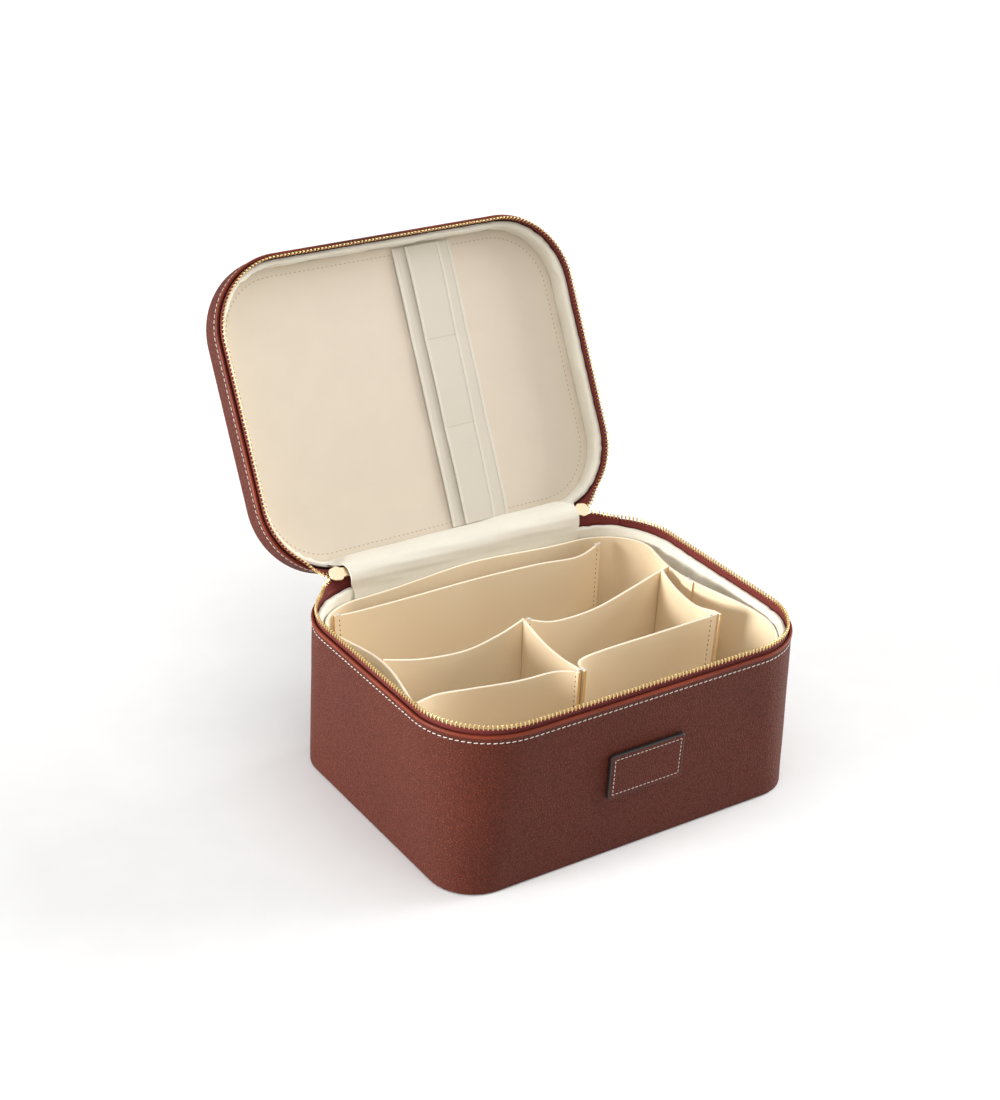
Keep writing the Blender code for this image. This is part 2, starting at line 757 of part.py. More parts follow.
def make_band():
    """One sheet bent round inside the wall, whose ends meet at a seam on the right."""
    inset = BAND_INSET + SHEET / 2
    low = band_line(ORGANISER_FOOT, inset)
    high = band_line(ORGANISER_TOP, inset)
    rows = []
    for foot, head in zip(low, high):
        drop = BAND_SCALLOP * (1 - math.cos(4 * math.atan2(head.y, head.x))) / 2
        share = 1 - drop / (ORGANISER_TOP - ORGANISER_FOOT)
        rows.append([foot, foot.lerp(head, share)])
    mesh = mesh_from("organiser_band", grid(rows))
    return thicken(add_object("organiser_band", mesh, BOARD_SKIN, ORGANISER), SHEET)


def make_organiser():
    make_band()
    divider("organiser_pocket", POCKET_SHARES, ORGANISER_TOP - POCKET_DROP, SCALLOP / 2)
    top = ORGANISER_TOP - DIVIDER_DROP
    divider("divider_mid_left", MID_LEFT_SHARES, top, SCALLOP)
    divider("divider_mid_right", MID_RIGHT_SHARES, top, SCALLOP)
    divider("divider_centre", CENTRE_SHARES, top, SCALLOP)
    divider("divider_right", RIGHT_SHARES, top, SCALLOP)
    divider("divider_front_left", FRONT_LEFT_SHARES, top, SCALLOP)
    divider("divider_front_right", FRONT_RIGHT_SHARES, top, SCALLOP)


clear_scene()
PARTS = new_collection("vanity_case")
TOOLS = new_collection("cutters")
HIDE = material("brown_leather", (0.20, 0.058, 0.037), 0.5)
EDGE_PAINT = material("edge_paint", (0.012, 0.010, 0.010), 0.5)
CARD = material("board", (0.42, 0.33, 0.24), 0.9)
CLOTH = material("cream_cloth", (0.74, 0.70, 0.60), 0.9)
SUEDE = material("cream_suede", (0.71, 0.63, 0.50), 0.9)
BOARD_SKIN = material("cream_sheet", (0.64, 0.47, 0.29), 0.6)
WEBBING = material("elastic", (0.64, 0.61, 0.52), 0.8)
TAPE = material("zip_tape", (0.10, 0.018, 0.018), 0.9)
BRASS = material("brass", (0.80, 0.62, 0.33), 0.3, 1.0)

AXIS_SHIFT = Matrix.Translation((0, -AXIS_Y, -AXIS_Z))
ORGANISER = hinge_empty("organiser_place", (0, 0, 0), 0)

make_bottom()
make_walls()
zip_half("base", RIM_HEIGHT, -1, case_size, None)
make_tag()
LID = hinge_empty("lid_hinge", (0, AXIS_Y, AXIS_Z), -LID_OPEN)
make_lid(LID)
elastic("wide_elastic", WIDE_BAND_WIDTH, WIDE_BAND_THICKNESS, PANEL_FACE - SEAT, WEBBING, LID)
narrow_face = PANEL_FACE - SEAT - WIDE_BAND_THICKNESS - SEAT
elastic("narrow_elastic", NARROW_BAND_WIDTH, NARROW_BAND_THICKNESS, narrow_face, WEBBING, LID)
make_hinge_strips()
make_zip_ends()
make_organiser()
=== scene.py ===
"""Looks of the open leather vanity case: leather, brass zip, linings, lid panel and organiser.

Lengths are in metres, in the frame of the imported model: X to the right along the front, Y to
the back, Z up, and the origin in the middle of the underside. The lid's pieces are made as
they lie with the case closed, and opened() turns them to where they stand.
"""

import math

import bmesh
import bpy
import numpy as np
from mathutils import Matrix


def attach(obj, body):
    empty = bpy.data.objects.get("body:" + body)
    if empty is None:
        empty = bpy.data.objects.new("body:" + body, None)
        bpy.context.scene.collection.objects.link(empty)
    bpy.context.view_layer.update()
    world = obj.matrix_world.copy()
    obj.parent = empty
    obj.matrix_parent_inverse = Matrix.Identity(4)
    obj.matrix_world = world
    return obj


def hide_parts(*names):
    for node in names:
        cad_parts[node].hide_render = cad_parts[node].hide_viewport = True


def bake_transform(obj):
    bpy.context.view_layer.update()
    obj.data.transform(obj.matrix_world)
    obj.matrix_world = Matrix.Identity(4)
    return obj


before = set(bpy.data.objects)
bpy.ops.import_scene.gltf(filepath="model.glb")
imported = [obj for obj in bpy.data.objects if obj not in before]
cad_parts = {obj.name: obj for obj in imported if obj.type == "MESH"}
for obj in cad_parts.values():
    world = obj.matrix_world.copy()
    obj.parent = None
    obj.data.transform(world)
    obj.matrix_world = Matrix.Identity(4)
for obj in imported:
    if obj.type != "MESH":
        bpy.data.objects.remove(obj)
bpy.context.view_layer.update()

MM = 0.001

# The case's own sizes
HALF_WIDTH = 120 * MM
HALF_DEPTH = 92.5 * MM
RIM = 97.7 * MM
RIM_RADIUS = 45 * MM
FOOT_RADIUS = 26 * MM
FOOT_INSET = 4 * MM
ZIP_MIDDLE = 103 * MM
LID_RIM = 2 * ZIP_MIDDLE - RIM
LID_TOP = 127 * MM
LID_EDGE = 3.2 * MM
AXIS = np.array([0, 93.8 * MM, ZIP_MIDDLE])
OPEN_ANGLE = math.radians(118)
LEATHER = 1.4 * MM
TAPE_INSET = 2.2 * MM
LINING_INSET = 4.7 * MM
SHEET = 1.5 * MM
SLIDER_X = 84 * MM
HALF_ZIP_GAP = ZIP_MIDDLE - RIM

# Points round an outline
CORNER_STEPS = 22
FRONT_STEPS = 40
SIDE_STEPS = 24
ZIP_CORNER_STEPS = 40


# Outlines
def case_size(z):
    share = min(max(z / RIM, 0), 1)
    shrink = FOOT_INSET * (1 - share)
    return HALF_WIDTH - shrink, HALF_DEPTH - shrink, FOOT_RADIUS + (RIM_RADIUS - FOOT_RADIUS) * share


def lid_size(z):
    return HALF_WIDTH, HALF_DEPTH, RIM_RADIUS


def ring(size, z, inset=0.0, corner=CORNER_STEPS):
    """Points round the rounded outline, and their outward normals, from the middle of the back by the left."""
    half_x, half_y, radius = size(z)
    cx = half_x - radius
    cy = half_y - radius
    reach = radius - inset
    points = []
    normals = []
    corners = ((-cx, cy), (-cx, -cy), (cx, -cy), (cx, cy))
    sides = (SIDE_STEPS, FRONT_STEPS, SIDE_STEPS, FRONT_STEPS)
    for index, ((x, y), steps) in enumerate(zip(corners, sides)):
        first = math.pi / 2 * (index + 1)
        for step in range(corner + 1):
            angle = first + math.pi / 2 * step / corner
            normal = (math.cos(angle), math.sin(angle), 0)
            normals.append(normal)
            points.append((x + reach * normal[0], y + reach * normal[1], z))
        x_next, y_next = corners[(index + 1) % 4]
        end = (x_next + reach * normal[0], y_next + reach * normal[1], z)
        begin = points[-1]
        for step in range(1, steps):
            share = step / steps
            normals.append(normal)
            points.append(tuple(a + (b - a) * share for a, b in zip(begin, end)))
    half = FRONT_STEPS // 2
    return np.roll(points, half, axis=0), np.roll(normals, half, axis=0)


def shrunk(row, shares):
    """Rows drawn in from one row towards the middle of the case, at the same height."""
    return [row * (share, share, 1) for share in shares]


def lengths(points, closed=True):
    """Distance along a line of points, from its first one."""
    ends = np.vstack([points, points[:1]]) if closed else points
    return np.concatenate([[0], np.cumsum(np.linalg.norm(np.diff(ends, axis=0), axis=1))])


def spaced(points, normals, pitch, closed=True):
    """Evenly spaced places on a line: points, tangents and normals, with a pitch that divides its length."""
    along = lengths(points, closed)
    total = along[-1]
    count = max(int(round(total / pitch)), 2)
    at = (np.arange(count) + (0.0 if closed else 0.5)) * total / count
    source = np.vstack([points, points[:1]]) if closed else points
    source_n = np.vstack([normals, normals[:1]]) if closed else normals
    step = total / count * 0.2
    place = sample(source, along, at)
    ahead = sample(source, along, np.clip(at + step, 0, total))
    behind = sample(source, along, np.clip(at - step, 0, total))
    return place, unit(ahead - behind), unit(sample(source_n, along, at))


def sample(values, along, at):
    return np.stack([np.interp(at, along, values[:, k]) for k in range(values.shape[1])], axis=1)


def unit(v):
    return v / np.maximum(np.linalg.norm(v, axis=-1, keepdims=True), 1e-12)


def opened(points, share=1.0):
    """Points of the closed lid, turned about the hinge line by a share of the open angle."""
    points = np.asarray(points, float)
    angle = OPEN_ANGLE * share
    c = math.cos(angle)
    s = math.sin(angle)
    y = points[..., 1] - AXIS[1]
    z = points[..., 2] - AXIS[2]
    return np.stack([points[..., 0], AXIS[1] + y * c + z * s, AXIS[2] - y * s + z * c], axis=-1)


def opened_way(vectors, share=1.0):
    return opened(np.asarray(vectors, float) + AXIS, share) - AXIS


def ease(t):
    t = np.clip(t, 0, 1)
    return t * t * (3 - 2 * t)


def waves(u, v, seed, scale, octaves=3):
    """A smooth uneven height between about -1 and 1 over a sheet, from sums of sines."""
    draw = np.random.default_rng(seed)
    total = np.zeros(np.broadcast(u, v).shape)
    for octave in range(octaves):
        for _ in range(4):
            angle = draw.uniform(0, math.tau)
            size = 2 ** octave / scale
            phase = draw.uniform(0, math.tau)
            total += np.sin((u * math.cos(angle) + v * math.sin(angle)) * size * math.tau + phase) / 2 ** octave / 4
    return total


def turned(x, y, z, origin=(0, 0, 0)):
    """The matrix that takes an object's own X, Y and Z to three directions and its origin to a place."""
    matrix = Matrix.Identity(4)
    for column, vector in enumerate((x, y, z, origin)):
        for row in range(3):
            matrix[row][column] = vector[row]
    return matrix


# Meshes
def linked(name, data):
    item = bpy.data.objects.new(name, data)
    bpy.context.scene.collection.objects.link(item)
    return item


def mesh_object(name, verts, faces, material, uvs=None, smooth=True, slots=None):
    mesh = bpy.data.meshes.new(name)
    mesh.from_pydata([tuple(v) for v in np.asarray(verts, float)], [], [tuple(int(i) for i in f) for f in faces])
    for finish in (material if isinstance(material, (list, tuple)) else [material]):
        mesh.materials.append(finish)
    if slots is not None:
        mesh.polygons.foreach_set("material_index", np.asarray(slots, np.int32))
    if uvs is not None:
        layer = mesh.uv_layers.new(name="UVMap")
        flat = np.asarray(uvs, np.float32)
        loops = np.zeros(len(mesh.loops), np.int32)
        mesh.loops.foreach_get("vertex_index", loops)
        layer.data.foreach_set("uv", flat[loops].ravel())
    mesh.validate()
    if smooth:
        shade(mesh)
    return linked(name, mesh)


def shade(mesh):
    """Smooth shading, with the mesh's real edges kept sharp."""
    mesh.shade_smooth()
    mesh.set_sharp_from_angle(angle=math.radians(40))


def surface(name, grid, material, wrap_u=False, wrap_v=False, uv=None, slot_of=None, caps="", cap_slot=0):
    """A mesh through a grid of points, rows by columns. Columns run along u, rows along v.

    caps names the direction whose two ends are closed. slot_of gives a row's finish.
    """
    rows, cols = grid.shape[:2]
    index = np.arange(rows * cols).reshape(rows, cols)
    r_next = np.roll(index, -1, axis=0) if wrap_v else index[1:]
    here = index if wrap_v else index[:-1]
    if wrap_u:
        a, b = here, np.roll(here, -1, axis=1)
        d, c = r_next, np.roll(r_next, -1, axis=1)
    else:
        a, b = here[:, :-1], here[:, 1:]
        d, c = r_next[:, :-1], r_next[:, 1:]
    faces = [list(q) for q in np.stack([a, b, c, d], axis=-1).reshape(-1, 4)]
    slots = None if slot_of is None else list(np.repeat([slot_of(r) for r in range(a.shape[0])], a.shape[1]))
    if caps:
        faces += [list(index[::-1, 0]), list(index[:, -1])] if caps == "u" else [list(index[0, ::-1]), list(index[-1])]
        if slots is not None:
            slots += [cap_slot, cap_slot]
    if uv is None:
        u, v = lengths(grid[0], False), lengths(grid[:, 0], False)
        uv = np.stack(np.meshgrid(u, v), axis=-1)
    return mesh_object(name, grid.reshape(-1, 3), faces, material, uv.reshape(-1, 2), slots=slots)


def tidy_normals(item):
    """Turns all the faces of a closed mesh outwards."""
    work = bmesh.new()
    work.from_mesh(item.data)
    bmesh.ops.recalc_face_normals(work, faces=work.faces)
    work.to_mesh(item.data)
    work.free()
    shade(item.data)
    return item


def swept(name, profile, size, material, place=None, slot_of=None, bump=None):
    """A closed profile of (inset, z) points carried all the way round the case."""
    grid = np.array([ring(size, z, inset)[0] for inset, z in profile])
    if bump is not None:
        grid = bump(grid)
    along = lengths(ring(size, profile[0][1])[0])[:-1]
    uv = np.stack(np.meshgrid(along, lengths(np.array(profile), False)), axis=-1)
    if place is not None:
        grid = place(grid)
    return tidy_normals(surface(name, grid, material, True, True, uv, slot_of=slot_of))


def copies(name, template, frames, material):
    """One mesh of many copies of a template (points, faces) at frames (origin, x, y, z)."""
    points, faces = template
    origin, x, y, z = frames
    basis = np.stack([x, y, z], axis=1)
    verts = np.einsum("vk,nkj->nvj", points, basis) + origin[:, None]
    count = len(points)
    flat = [[i + n * count for i in face] for n in range(len(origin)) for face in faces]
    return mesh_object(name, verts.reshape(-1, 3), flat, material)


def stack(sections):
    """A closed template through rings of equal count, capped at both ends."""
    rings = np.array(sections)
    rows, cols = rings.shape[:2]
    faces = []
    for r in range(rows - 1):
        for c in range(cols):
            d = (c + 1) % cols
            faces.append([r * cols + c, r * cols + d, (r + 1) * cols + d, (r + 1) * cols + c])
    faces.append(list(range(cols))[::-1])
    faces.append([(rows - 1) * cols + c for c in range(cols)])
    return rings.reshape(-1, 3), faces


def oval(half_x, half_y, z, count=8, power=3.0):
    """A rounded rectangle of points at a height."""
    points = []
    for k in range(count):
        angle = math.tau * (k + 0.5) / count
        c, s = (math.copysign(abs(v) ** (2 / power), v) for v in (math.cos(angle), math.sin(angle)))
        points.append((half_x * c, half_y * s, z))
    return points


# Materials
def principled(name, colour, roughness, metallic=0.0, **inputs):
    made = bpy.data.materials.new(name)
    made.use_nodes = True
    shader = made.node_tree.nodes["Principled BSDF"]
    shader.inputs["Base Color"].default_value = (*colour, 1)
    shader.inputs["Roughness"].default_value = roughness
    shader.inputs["Metallic"].default_value = metallic
    for key, value in inputs.items():
        shader.inputs[key.replace("_", " ")].default_value = value
    return made


def srgb(*values):
    return tuple(((v / 255 + 0.055) / 1.055) ** 2.4 if v > 10 else v / 255 / 12.92 for v in values)


class Nodes:
    """Short calls for building a material's node tree.

    new() sets a node's own settings by their names, and its inputs by theirs, with _ for a space.
    """

    def __init__(self, material):
        self.tree = material.node_tree
        self.shader = self.tree.nodes["Principled BSDF"]

    def new(self, kind, **settings):
        node = self.tree.nodes.new(kind)
        for key, value in settings.items():
            if hasattr(node, key):
                setattr(node, key, value)
            else:
                node.inputs[key.replace("_", " ")].default_value = value
        return node

    def link(self, a, b):
        self.tree.links.new(a, b)

    def coordinates(self, kind="Object", turn=0.0):
        source = self.new("ShaderNodeTexCoord")
        mapping = self.new("ShaderNodeMapping", Rotation=(0, 0, turn))
        self.link(source.outputs[kind], mapping.inputs["Vector"])
        return mapping.outputs["Vector"]

    def noise(self, vector, scale, detail=3.0, output="Fac"):
        node = self.new("ShaderNodeTexNoise", Scale=scale, Detail=detail)
        self.link(vector, node.inputs["Vector"])
        return node.outputs[output]

    def cells(self, vector, scale):
        """Distance to the nearest border between cells."""
        node = self.new("ShaderNodeTexVoronoi", feature="DISTANCE_TO_EDGE", Scale=scale)
        self.link(vector, node.inputs["Vector"])
        return node.outputs["Distance"]

    def wave(self, vector, scale, direction="X"):
        node = self.new("ShaderNodeTexWave", bands_direction=direction, Scale=scale)
        self.link(vector, node.inputs["Vector"])
        return node.outputs["Fac"]

    def math(self, operation, a, b=0.0):
        node = self.new("ShaderNodeMath", operation=operation)
        for socket, value in zip(node.inputs, (a, b)):
            if isinstance(value, (int, float)):
                socket.default_value = value
            else:
                self.link(value, socket)
        return node.outputs[0]

    def ramp(self, value, low, high, first=0.0, last=1.0):
        node = self.new("ShaderNodeMapRange", From_Min=low, From_Max=high, To_Min=first, To_Max=last)
        self.link(value, node.inputs["Value"])
        return node.outputs["Result"]

    def mix(self, share, first, last, blend="MIX"):
        """A blend of two colours, each a tuple or a socket."""
        node = self.new("ShaderNodeMix", data_type="RGBA", blend_type=blend)
        a, b = (s for s in node.inputs if s.type == "RGBA")
        for socket, value in ((a, first), (b, last)):
            if isinstance(value, tuple):
                socket.default_value = (*value, 1)
            else:
                self.link(value, socket)
        if isinstance(share, (int, float)):
            node.inputs["Factor"].default_value = share
        else:
            self.link(share, node.inputs["Factor"])
        return [s for s in node.outputs if s.type == "RGBA"][0]

    def bump(self, height, distance, strength=1.0):
        node = self.new("ShaderNodeBump", Distance=distance, Strength=strength)
        self.link(height, node.inputs["Height"])
        return node.outputs["Normal"]

    def colour(self, socket):
        self.link(socket, self.shader.inputs["Base Color"])

    def roughness(self, socket):
        self.link(socket, self.shader.inputs["Roughness"])

    def normal(self, socket):
        self.link(socket, self.shader.inputs["Normal"])


LEATHER_DARK = srgb(91, 34, 16)
LEATHER_LIGHT = srgb(97, 37, 18)
# Lighter, redder tone for the folded bead at the zip: a painted highlight
PAINTED_FOLD_HIGHLIGHT = srgb(138, 58, 36)
GRAIN_SCALE = 660
GRAIN_WARP = 0.5 * MM
GRAIN_DEPTH = 0.26 * MM


def leather(name, dark, light, grain=1.0, roughness=0.5):
    """Pebbled leather: domed cells parted by soft creases, with fine pores and slow colour drift. Its colour is
    darkened in the creases as painted shade and lifted on the dome tops as painted highlight.
    """
    made = principled(name, light, roughness, Specular_IOR_Level=0.22)
    n = Nodes(made)
    place = n.coordinates()
    scaled = n.new("ShaderNodeVectorMath", operation="SCALE", Scale=GRAIN_WARP)
    n.link(n.noise(place, 260, 0.0, "Color"), scaled.inputs[0])
    drift = n.new("ShaderNodeVectorMath", operation="ADD")
    n.link(place, drift.inputs[0])
    n.link(scaled.outputs[0], drift.inputs[1])
    dome = n.math("POWER", n.ramp(n.cells(drift.outputs[0], GRAIN_SCALE), 0.0, 0.42), 0.75)
    pores = n.math("MULTIPLY", n.noise(place, 2200, 1.0), 0.12)
    base = n.mix(n.ramp(n.noise(place, 14, 2.0), 0.3, 0.7), dark, light)
    # Painted shade in the creases and painted highlight on the dome tops
    crease_shade_and_dome_highlight = n.ramp(dome, 0.0, 1.0, 1 - 0.5 * grain, 1 + 0.1 * grain)
    n.colour(n.mix(1.0, base, crease_shade_and_dome_highlight, "MULTIPLY"))
    n.roughness(n.ramp(dome, 0.0, 1.0, roughness + 0.2, roughness - 0.04))
    n.normal(n.bump(n.math("ADD", dome, pores), GRAIN_DEPTH * grain))
    return made


def thread(name, colour):
    """Thread with a slanting lay, darkened in the grooves between its turns as painted shade."""
    made = principled(name, colour, 0.7)
    n = Nodes(made)
    lay = n.wave(n.coordinates(), 900, "DIAGONAL")
    # Painted shade in the grooves of the lay
    n.colour(n.mix(lay, tuple(c * 0.72 for c in colour), colour))
    n.normal(n.bump(lay, 0.05 * MM))
    return made


def woven(name, colour, shadow, pitch, depth, turn=0.0, roughness=0.85, ratio=1.0, kind="UV", sheen=0.2):
    """A plain or twill weave laid out on the mesh's own lengths."""
    made = principled(name, colour, roughness, Sheen_Weight=sheen, Sheen_Roughness=0.5)
    n = Nodes(made)
    place = n.coordinates(kind, turn=turn)
    warp = n.wave(place, 1 / pitch / math.tau * math.pi)
    weft = n.wave(place, 1 / pitch / math.tau * math.pi * ratio, "Y")
    height = n.math("MULTIPLY", warp, weft)
    blotch = n.noise(n.coordinates(), 60)
    slow = n.mix(n.ramp(blotch, 0.3, 0.7), tuple(c * 0.94 for c in colour), colour)
    n.colour(n.mix(n.ramp(height, 0.0, 0.5), shadow, slow))
    n.normal(n.bump(height, depth))
    return made


HIDE = leather("brown_leather", LEATHER_DARK, LEATHER_LIGHT)
# Leather for the folded bead, made lighter as a painted highlight
HIDE_FOLD_PAINTED_HIGHLIGHT = leather("leather_fold_painted_highlight", LEATHER_LIGHT, PAINTED_FOLD_HIGHLIGHT, grain=0.25, roughness=0.42)
BLACK_EDGE = principled("edge_paint", srgb(32, 28, 26), 0.42)
THREAD = thread("thread_grey", srgb(226, 221, 210))
TAPE = woven("zip_tape", srgb(136, 46, 38), srgb(84, 24, 20), 0.9 * MM, 0.12 * MM,
             turn=math.radians(38), ratio=0.5, sheen=0.0)
LINING = woven("cream_cloth", srgb(233, 228, 213), srgb(221, 215, 198), 0.35 * MM, 0.02 * MM,
               roughness=0.6, sheen=0.3)
PANEL = woven("cream_suede", srgb(226, 214, 196), srgb(214, 200, 180), 0.45 * MM, 0.02 * MM,
              roughness=0.95, sheen=0.3)
CARD = principled("board", srgb(172, 152, 128), 0.9)
THREAD_CREAM = thread("thread_cream", srgb(205, 188, 158))


def sheet_material(name, light, dark, roughness):
    """A smooth coated sheet with a fine grain."""
    made = principled(name, light, roughness, Specular_IOR_Level=0.4)
    n = Nodes(made)
    place = n.coordinates()
    slow = n.noise(place, 18, 2.0)
    fine = n.noise(place, 1500, 2.0)
    n.colour(n.mix(n.ramp(slow, 0.3, 0.7), dark, light))
    n.normal(n.bump(fine, 0.03 * MM, 0.7))
    return made


SKIN = sheet_material("cream_sheet", srgb(238, 219, 187), srgb(234, 213, 179), 0.55)
# Paler colour for the sheets' rounded top edges, which face the light: a painted highlight
SKIN_EDGE_PAINTED_HIGHLIGHT = sheet_material("sheet_edge_painted_highlight", srgb(248, 236, 214), srgb(244, 230, 206), 0.5)
SKIN_CORE = sheet_material("sheet_core", srgb(226, 186, 124), srgb(216, 172, 108), 0.6)
# Dark brown dots standing for the shade inside the needle holes: painted shade
NEEDLE_HOLE_SHADE = principled("needle_hole_shade", srgb(122, 86, 52), 0.9)
# Darker dots standing for the shade in the panel's stitch holes: painted shade
PANEL_HOLE_SHADE = principled("panel_hole_shade", srgb(168, 142, 112), 0.9)
KNOT = thread("thread_white", srgb(244, 240, 232))


def brass_material(name, colour, roughness):
    made = principled(name, colour, roughness, 1.0)
    n = Nodes(made)
    n.roughness(n.ramp(n.noise(n.coordinates(), 220), 0.3, 0.7, roughness - 0.04, roughness + 0.06))
    return made


BRASS = brass_material("brass_teeth", srgb(236, 208, 150), 0.3)
BRASS_PLATE = brass_material("brass_plate", srgb(246, 222, 188), 0.4)


def ribbed(name, colour, shadow, pitch):
    """Elastic with slanting ribs."""
    made = principled(name, colour, 0.8, Sheen_Weight=0.2)
    n = Nodes(made)
    twill = n.wave(n.coordinates("UV", turn=math.radians(35)), 1 / pitch / 2)
    cross = n.wave(n.coordinates("UV"), 1 / pitch / 2, "Y")
    height = n.math("ADD", twill, n.math("MULTIPLY", cross, 0.5))
    n.colour(n.mix(n.ramp(height, 0.2, 1.2), shadow, colour))
    n.normal(n.bump(height, 0.04 * MM))
    return made


ELASTIC = ribbed("elastic", srgb(219, 211, 196), srgb(202, 193, 176), 0.9 * MM)
ELASTIC_EDGE = ribbed("elastic_edge", srgb(231, 225, 213), srgb(212, 204, 189), 0.7 * MM)


def dressed(item, body, slot, *nodes):
    """A piece of the model: the body it moves with, and the nodes it stands for. Its finish, slot, is not used."""
    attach(item, body)
    if nodes:
        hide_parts(*nodes)
    return item


# Leather walls
FOLD = 4.3 * MM


def rim_profile(edge, away, foot):
    """The leather from its far edge over its beaded edge at the zip and back down inside, as (inset, z)."""
    half = LEATHER / 2

    def at(inset, down):
        return inset, edge + away * down

    return [
        (0, foot),
        at(0, FOLD + 1.1 * MM),
        at(0.02 * MM, FOLD + 0.55 * MM),
        at(0.16 * MM, FOLD + 0.15 * MM),
        at(0.16 * MM, FOLD - 0.15 * MM),
        at(-0.10 * MM, FOLD - 0.6 * MM),
        at(-0.16 * MM, FOLD - 1.1 * MM),
        at(-0.20 * MM, 2.6 * MM),
        at(-0.34 * MM, 2.1 * MM),
        at(-0.46 * MM, 1.55 * MM),
        at(-0.50 * MM, 1.0 * MM),
        at(-0.42 * MM, 0.5 * MM),
        at(-0.18 * MM, 0.14 * MM),
        at(half * 0.8, 0),
        at(half * 1.5, 0.12 * MM),
        at(LEATHER - 0.1 * MM, 0.6 * MM),
        at(LEATHER, 1.4 * MM),
    ]


def wall_bump(grid):
    """Soft unevenness of a leather wall over its board."""
    u = grid[..., 0] + grid[..., 1]
    v = grid[..., 2]
    amount = 0.25 * MM * waves(u, v, 3, 90 * MM, 2)
    away = unit(grid * (1, 1, 0))
    fade = ease((RIM - 6 * MM - v) / (14 * MM)) * ease((v - 2 * MM) / (12 * MM))
    return grid + away * (amount * fade)[..., None]


def make_wall():
    """The wall's leather, from inside its foot round to inside its edge at the zip."""
    foot = 0.6 * MM
    outside = rim_profile(RIM, -1, foot)
    ladder = [(0, foot + (RIM - FOLD - 1.1 * MM - foot) * k / 14) for k in range(1, 14)]
    profile = [(LEATHER, foot + 0.4 * MM), (LEATHER - 0.4 * MM, foot), (0.5 * MM, foot), (0.08 * MM, foot + 0.35 * MM)]
    profile += ladder + outside[1:] + [(LEATHER, RIM - 12 * MM)]
    bead = len(profile) - 9
    # The rows from the bead round to the inside take the lighter fold leather, a painted highlight
    wall = swept("wall_leather_skin", profile, case_size, [HIDE, HIDE_FOLD_PAINTED_HIGHLIGHT], bump=wall_bump,
                 slot_of=lambda r: int(bead <= r < len(profile) - 2))
    dressed(wall, "case", "brown_leather", "wall_leather")


def capsule(length, radius, flat=0.8, rings=6, around=6):
    """A thread's stitch lying along X, with rounded ends."""
    sections = []
    for k in range(rings + 1):
        share = k / rings
        angle = math.pi * share
        x = -length / 2 * math.cos(angle)
        r = radius * max(math.sin(angle), 0.25) ** 0.5
        sections.append([
            (x, r * math.cos(math.tau * (j + 0.5) / around), r * flat * math.sin(math.tau * (j + 0.5) / around))
            for j in range(around)
        ])
    return stack(sections)


STITCH = 2.25 * MM
STITCH_PITCH = 3.3 * MM
STITCH_RADIUS = 0.29 * MM


def stitches(name, points, normals, body, closed=True, place=None, slant=8, pitch=STITCH_PITCH,
             length=STITCH, radius=STITCH_RADIUS, finish=None, slot="brown_leather"):
    at, way, out = spaced(points, normals, pitch, closed)
    side = unit(np.cross(out, way))
    turn = math.radians(slant)
    x = way * math.cos(turn) + side * math.sin(turn)
    y = unit(np.cross(out, x))
    if place is not None:
        at, x, y, out = place(at), opened_way(x), opened_way(y), opened_way(out)
    item = copies(name, capsule(length, radius), (at, x, y, out), finish or THREAD)
    return dressed(item, body, slot)


def make_rim_stitches():
    points, normals = ring(case_size, RIM - FOLD, -0.02 * MM)
    stitches("rim_stitches", points, normals, "case")
    points, normals = ring(lid_size, LID_RIM + FOLD, -0.02 * MM)
    stitches("lid_stitches", points, normals, "lid", place=opened)


def make_bottom():
    """The dark panel under the case, set in from the leather's foot."""
    profile = [(3 * MM, 0.0), (2.0 * MM, 0.0), (1.7 * MM, 0.2 * MM), (1.6 * MM, 0.6 * MM), (1.6 * MM, 1.3 * MM),
               (1.8 * MM, 1.5 * MM), (3 * MM, 1.55 * MM)]
    grid = [ring(case_size, z, inset)[0] for inset, z in profile]
    above = shrunk(grid[-1], (0.9, 0.54, 0.16))
    below = shrunk(grid[0], (0.1, 0.3, 0.6, 0.9))
    panel = surface("bottom_panel_skin", np.array(below + grid + above), BLACK_EDGE, True, False, caps="v")
    dressed(tidy_normals(panel), "case", "edge_paint", "bottom_panel")


# Lid shell
LID_CROWN = 0.5 * MM


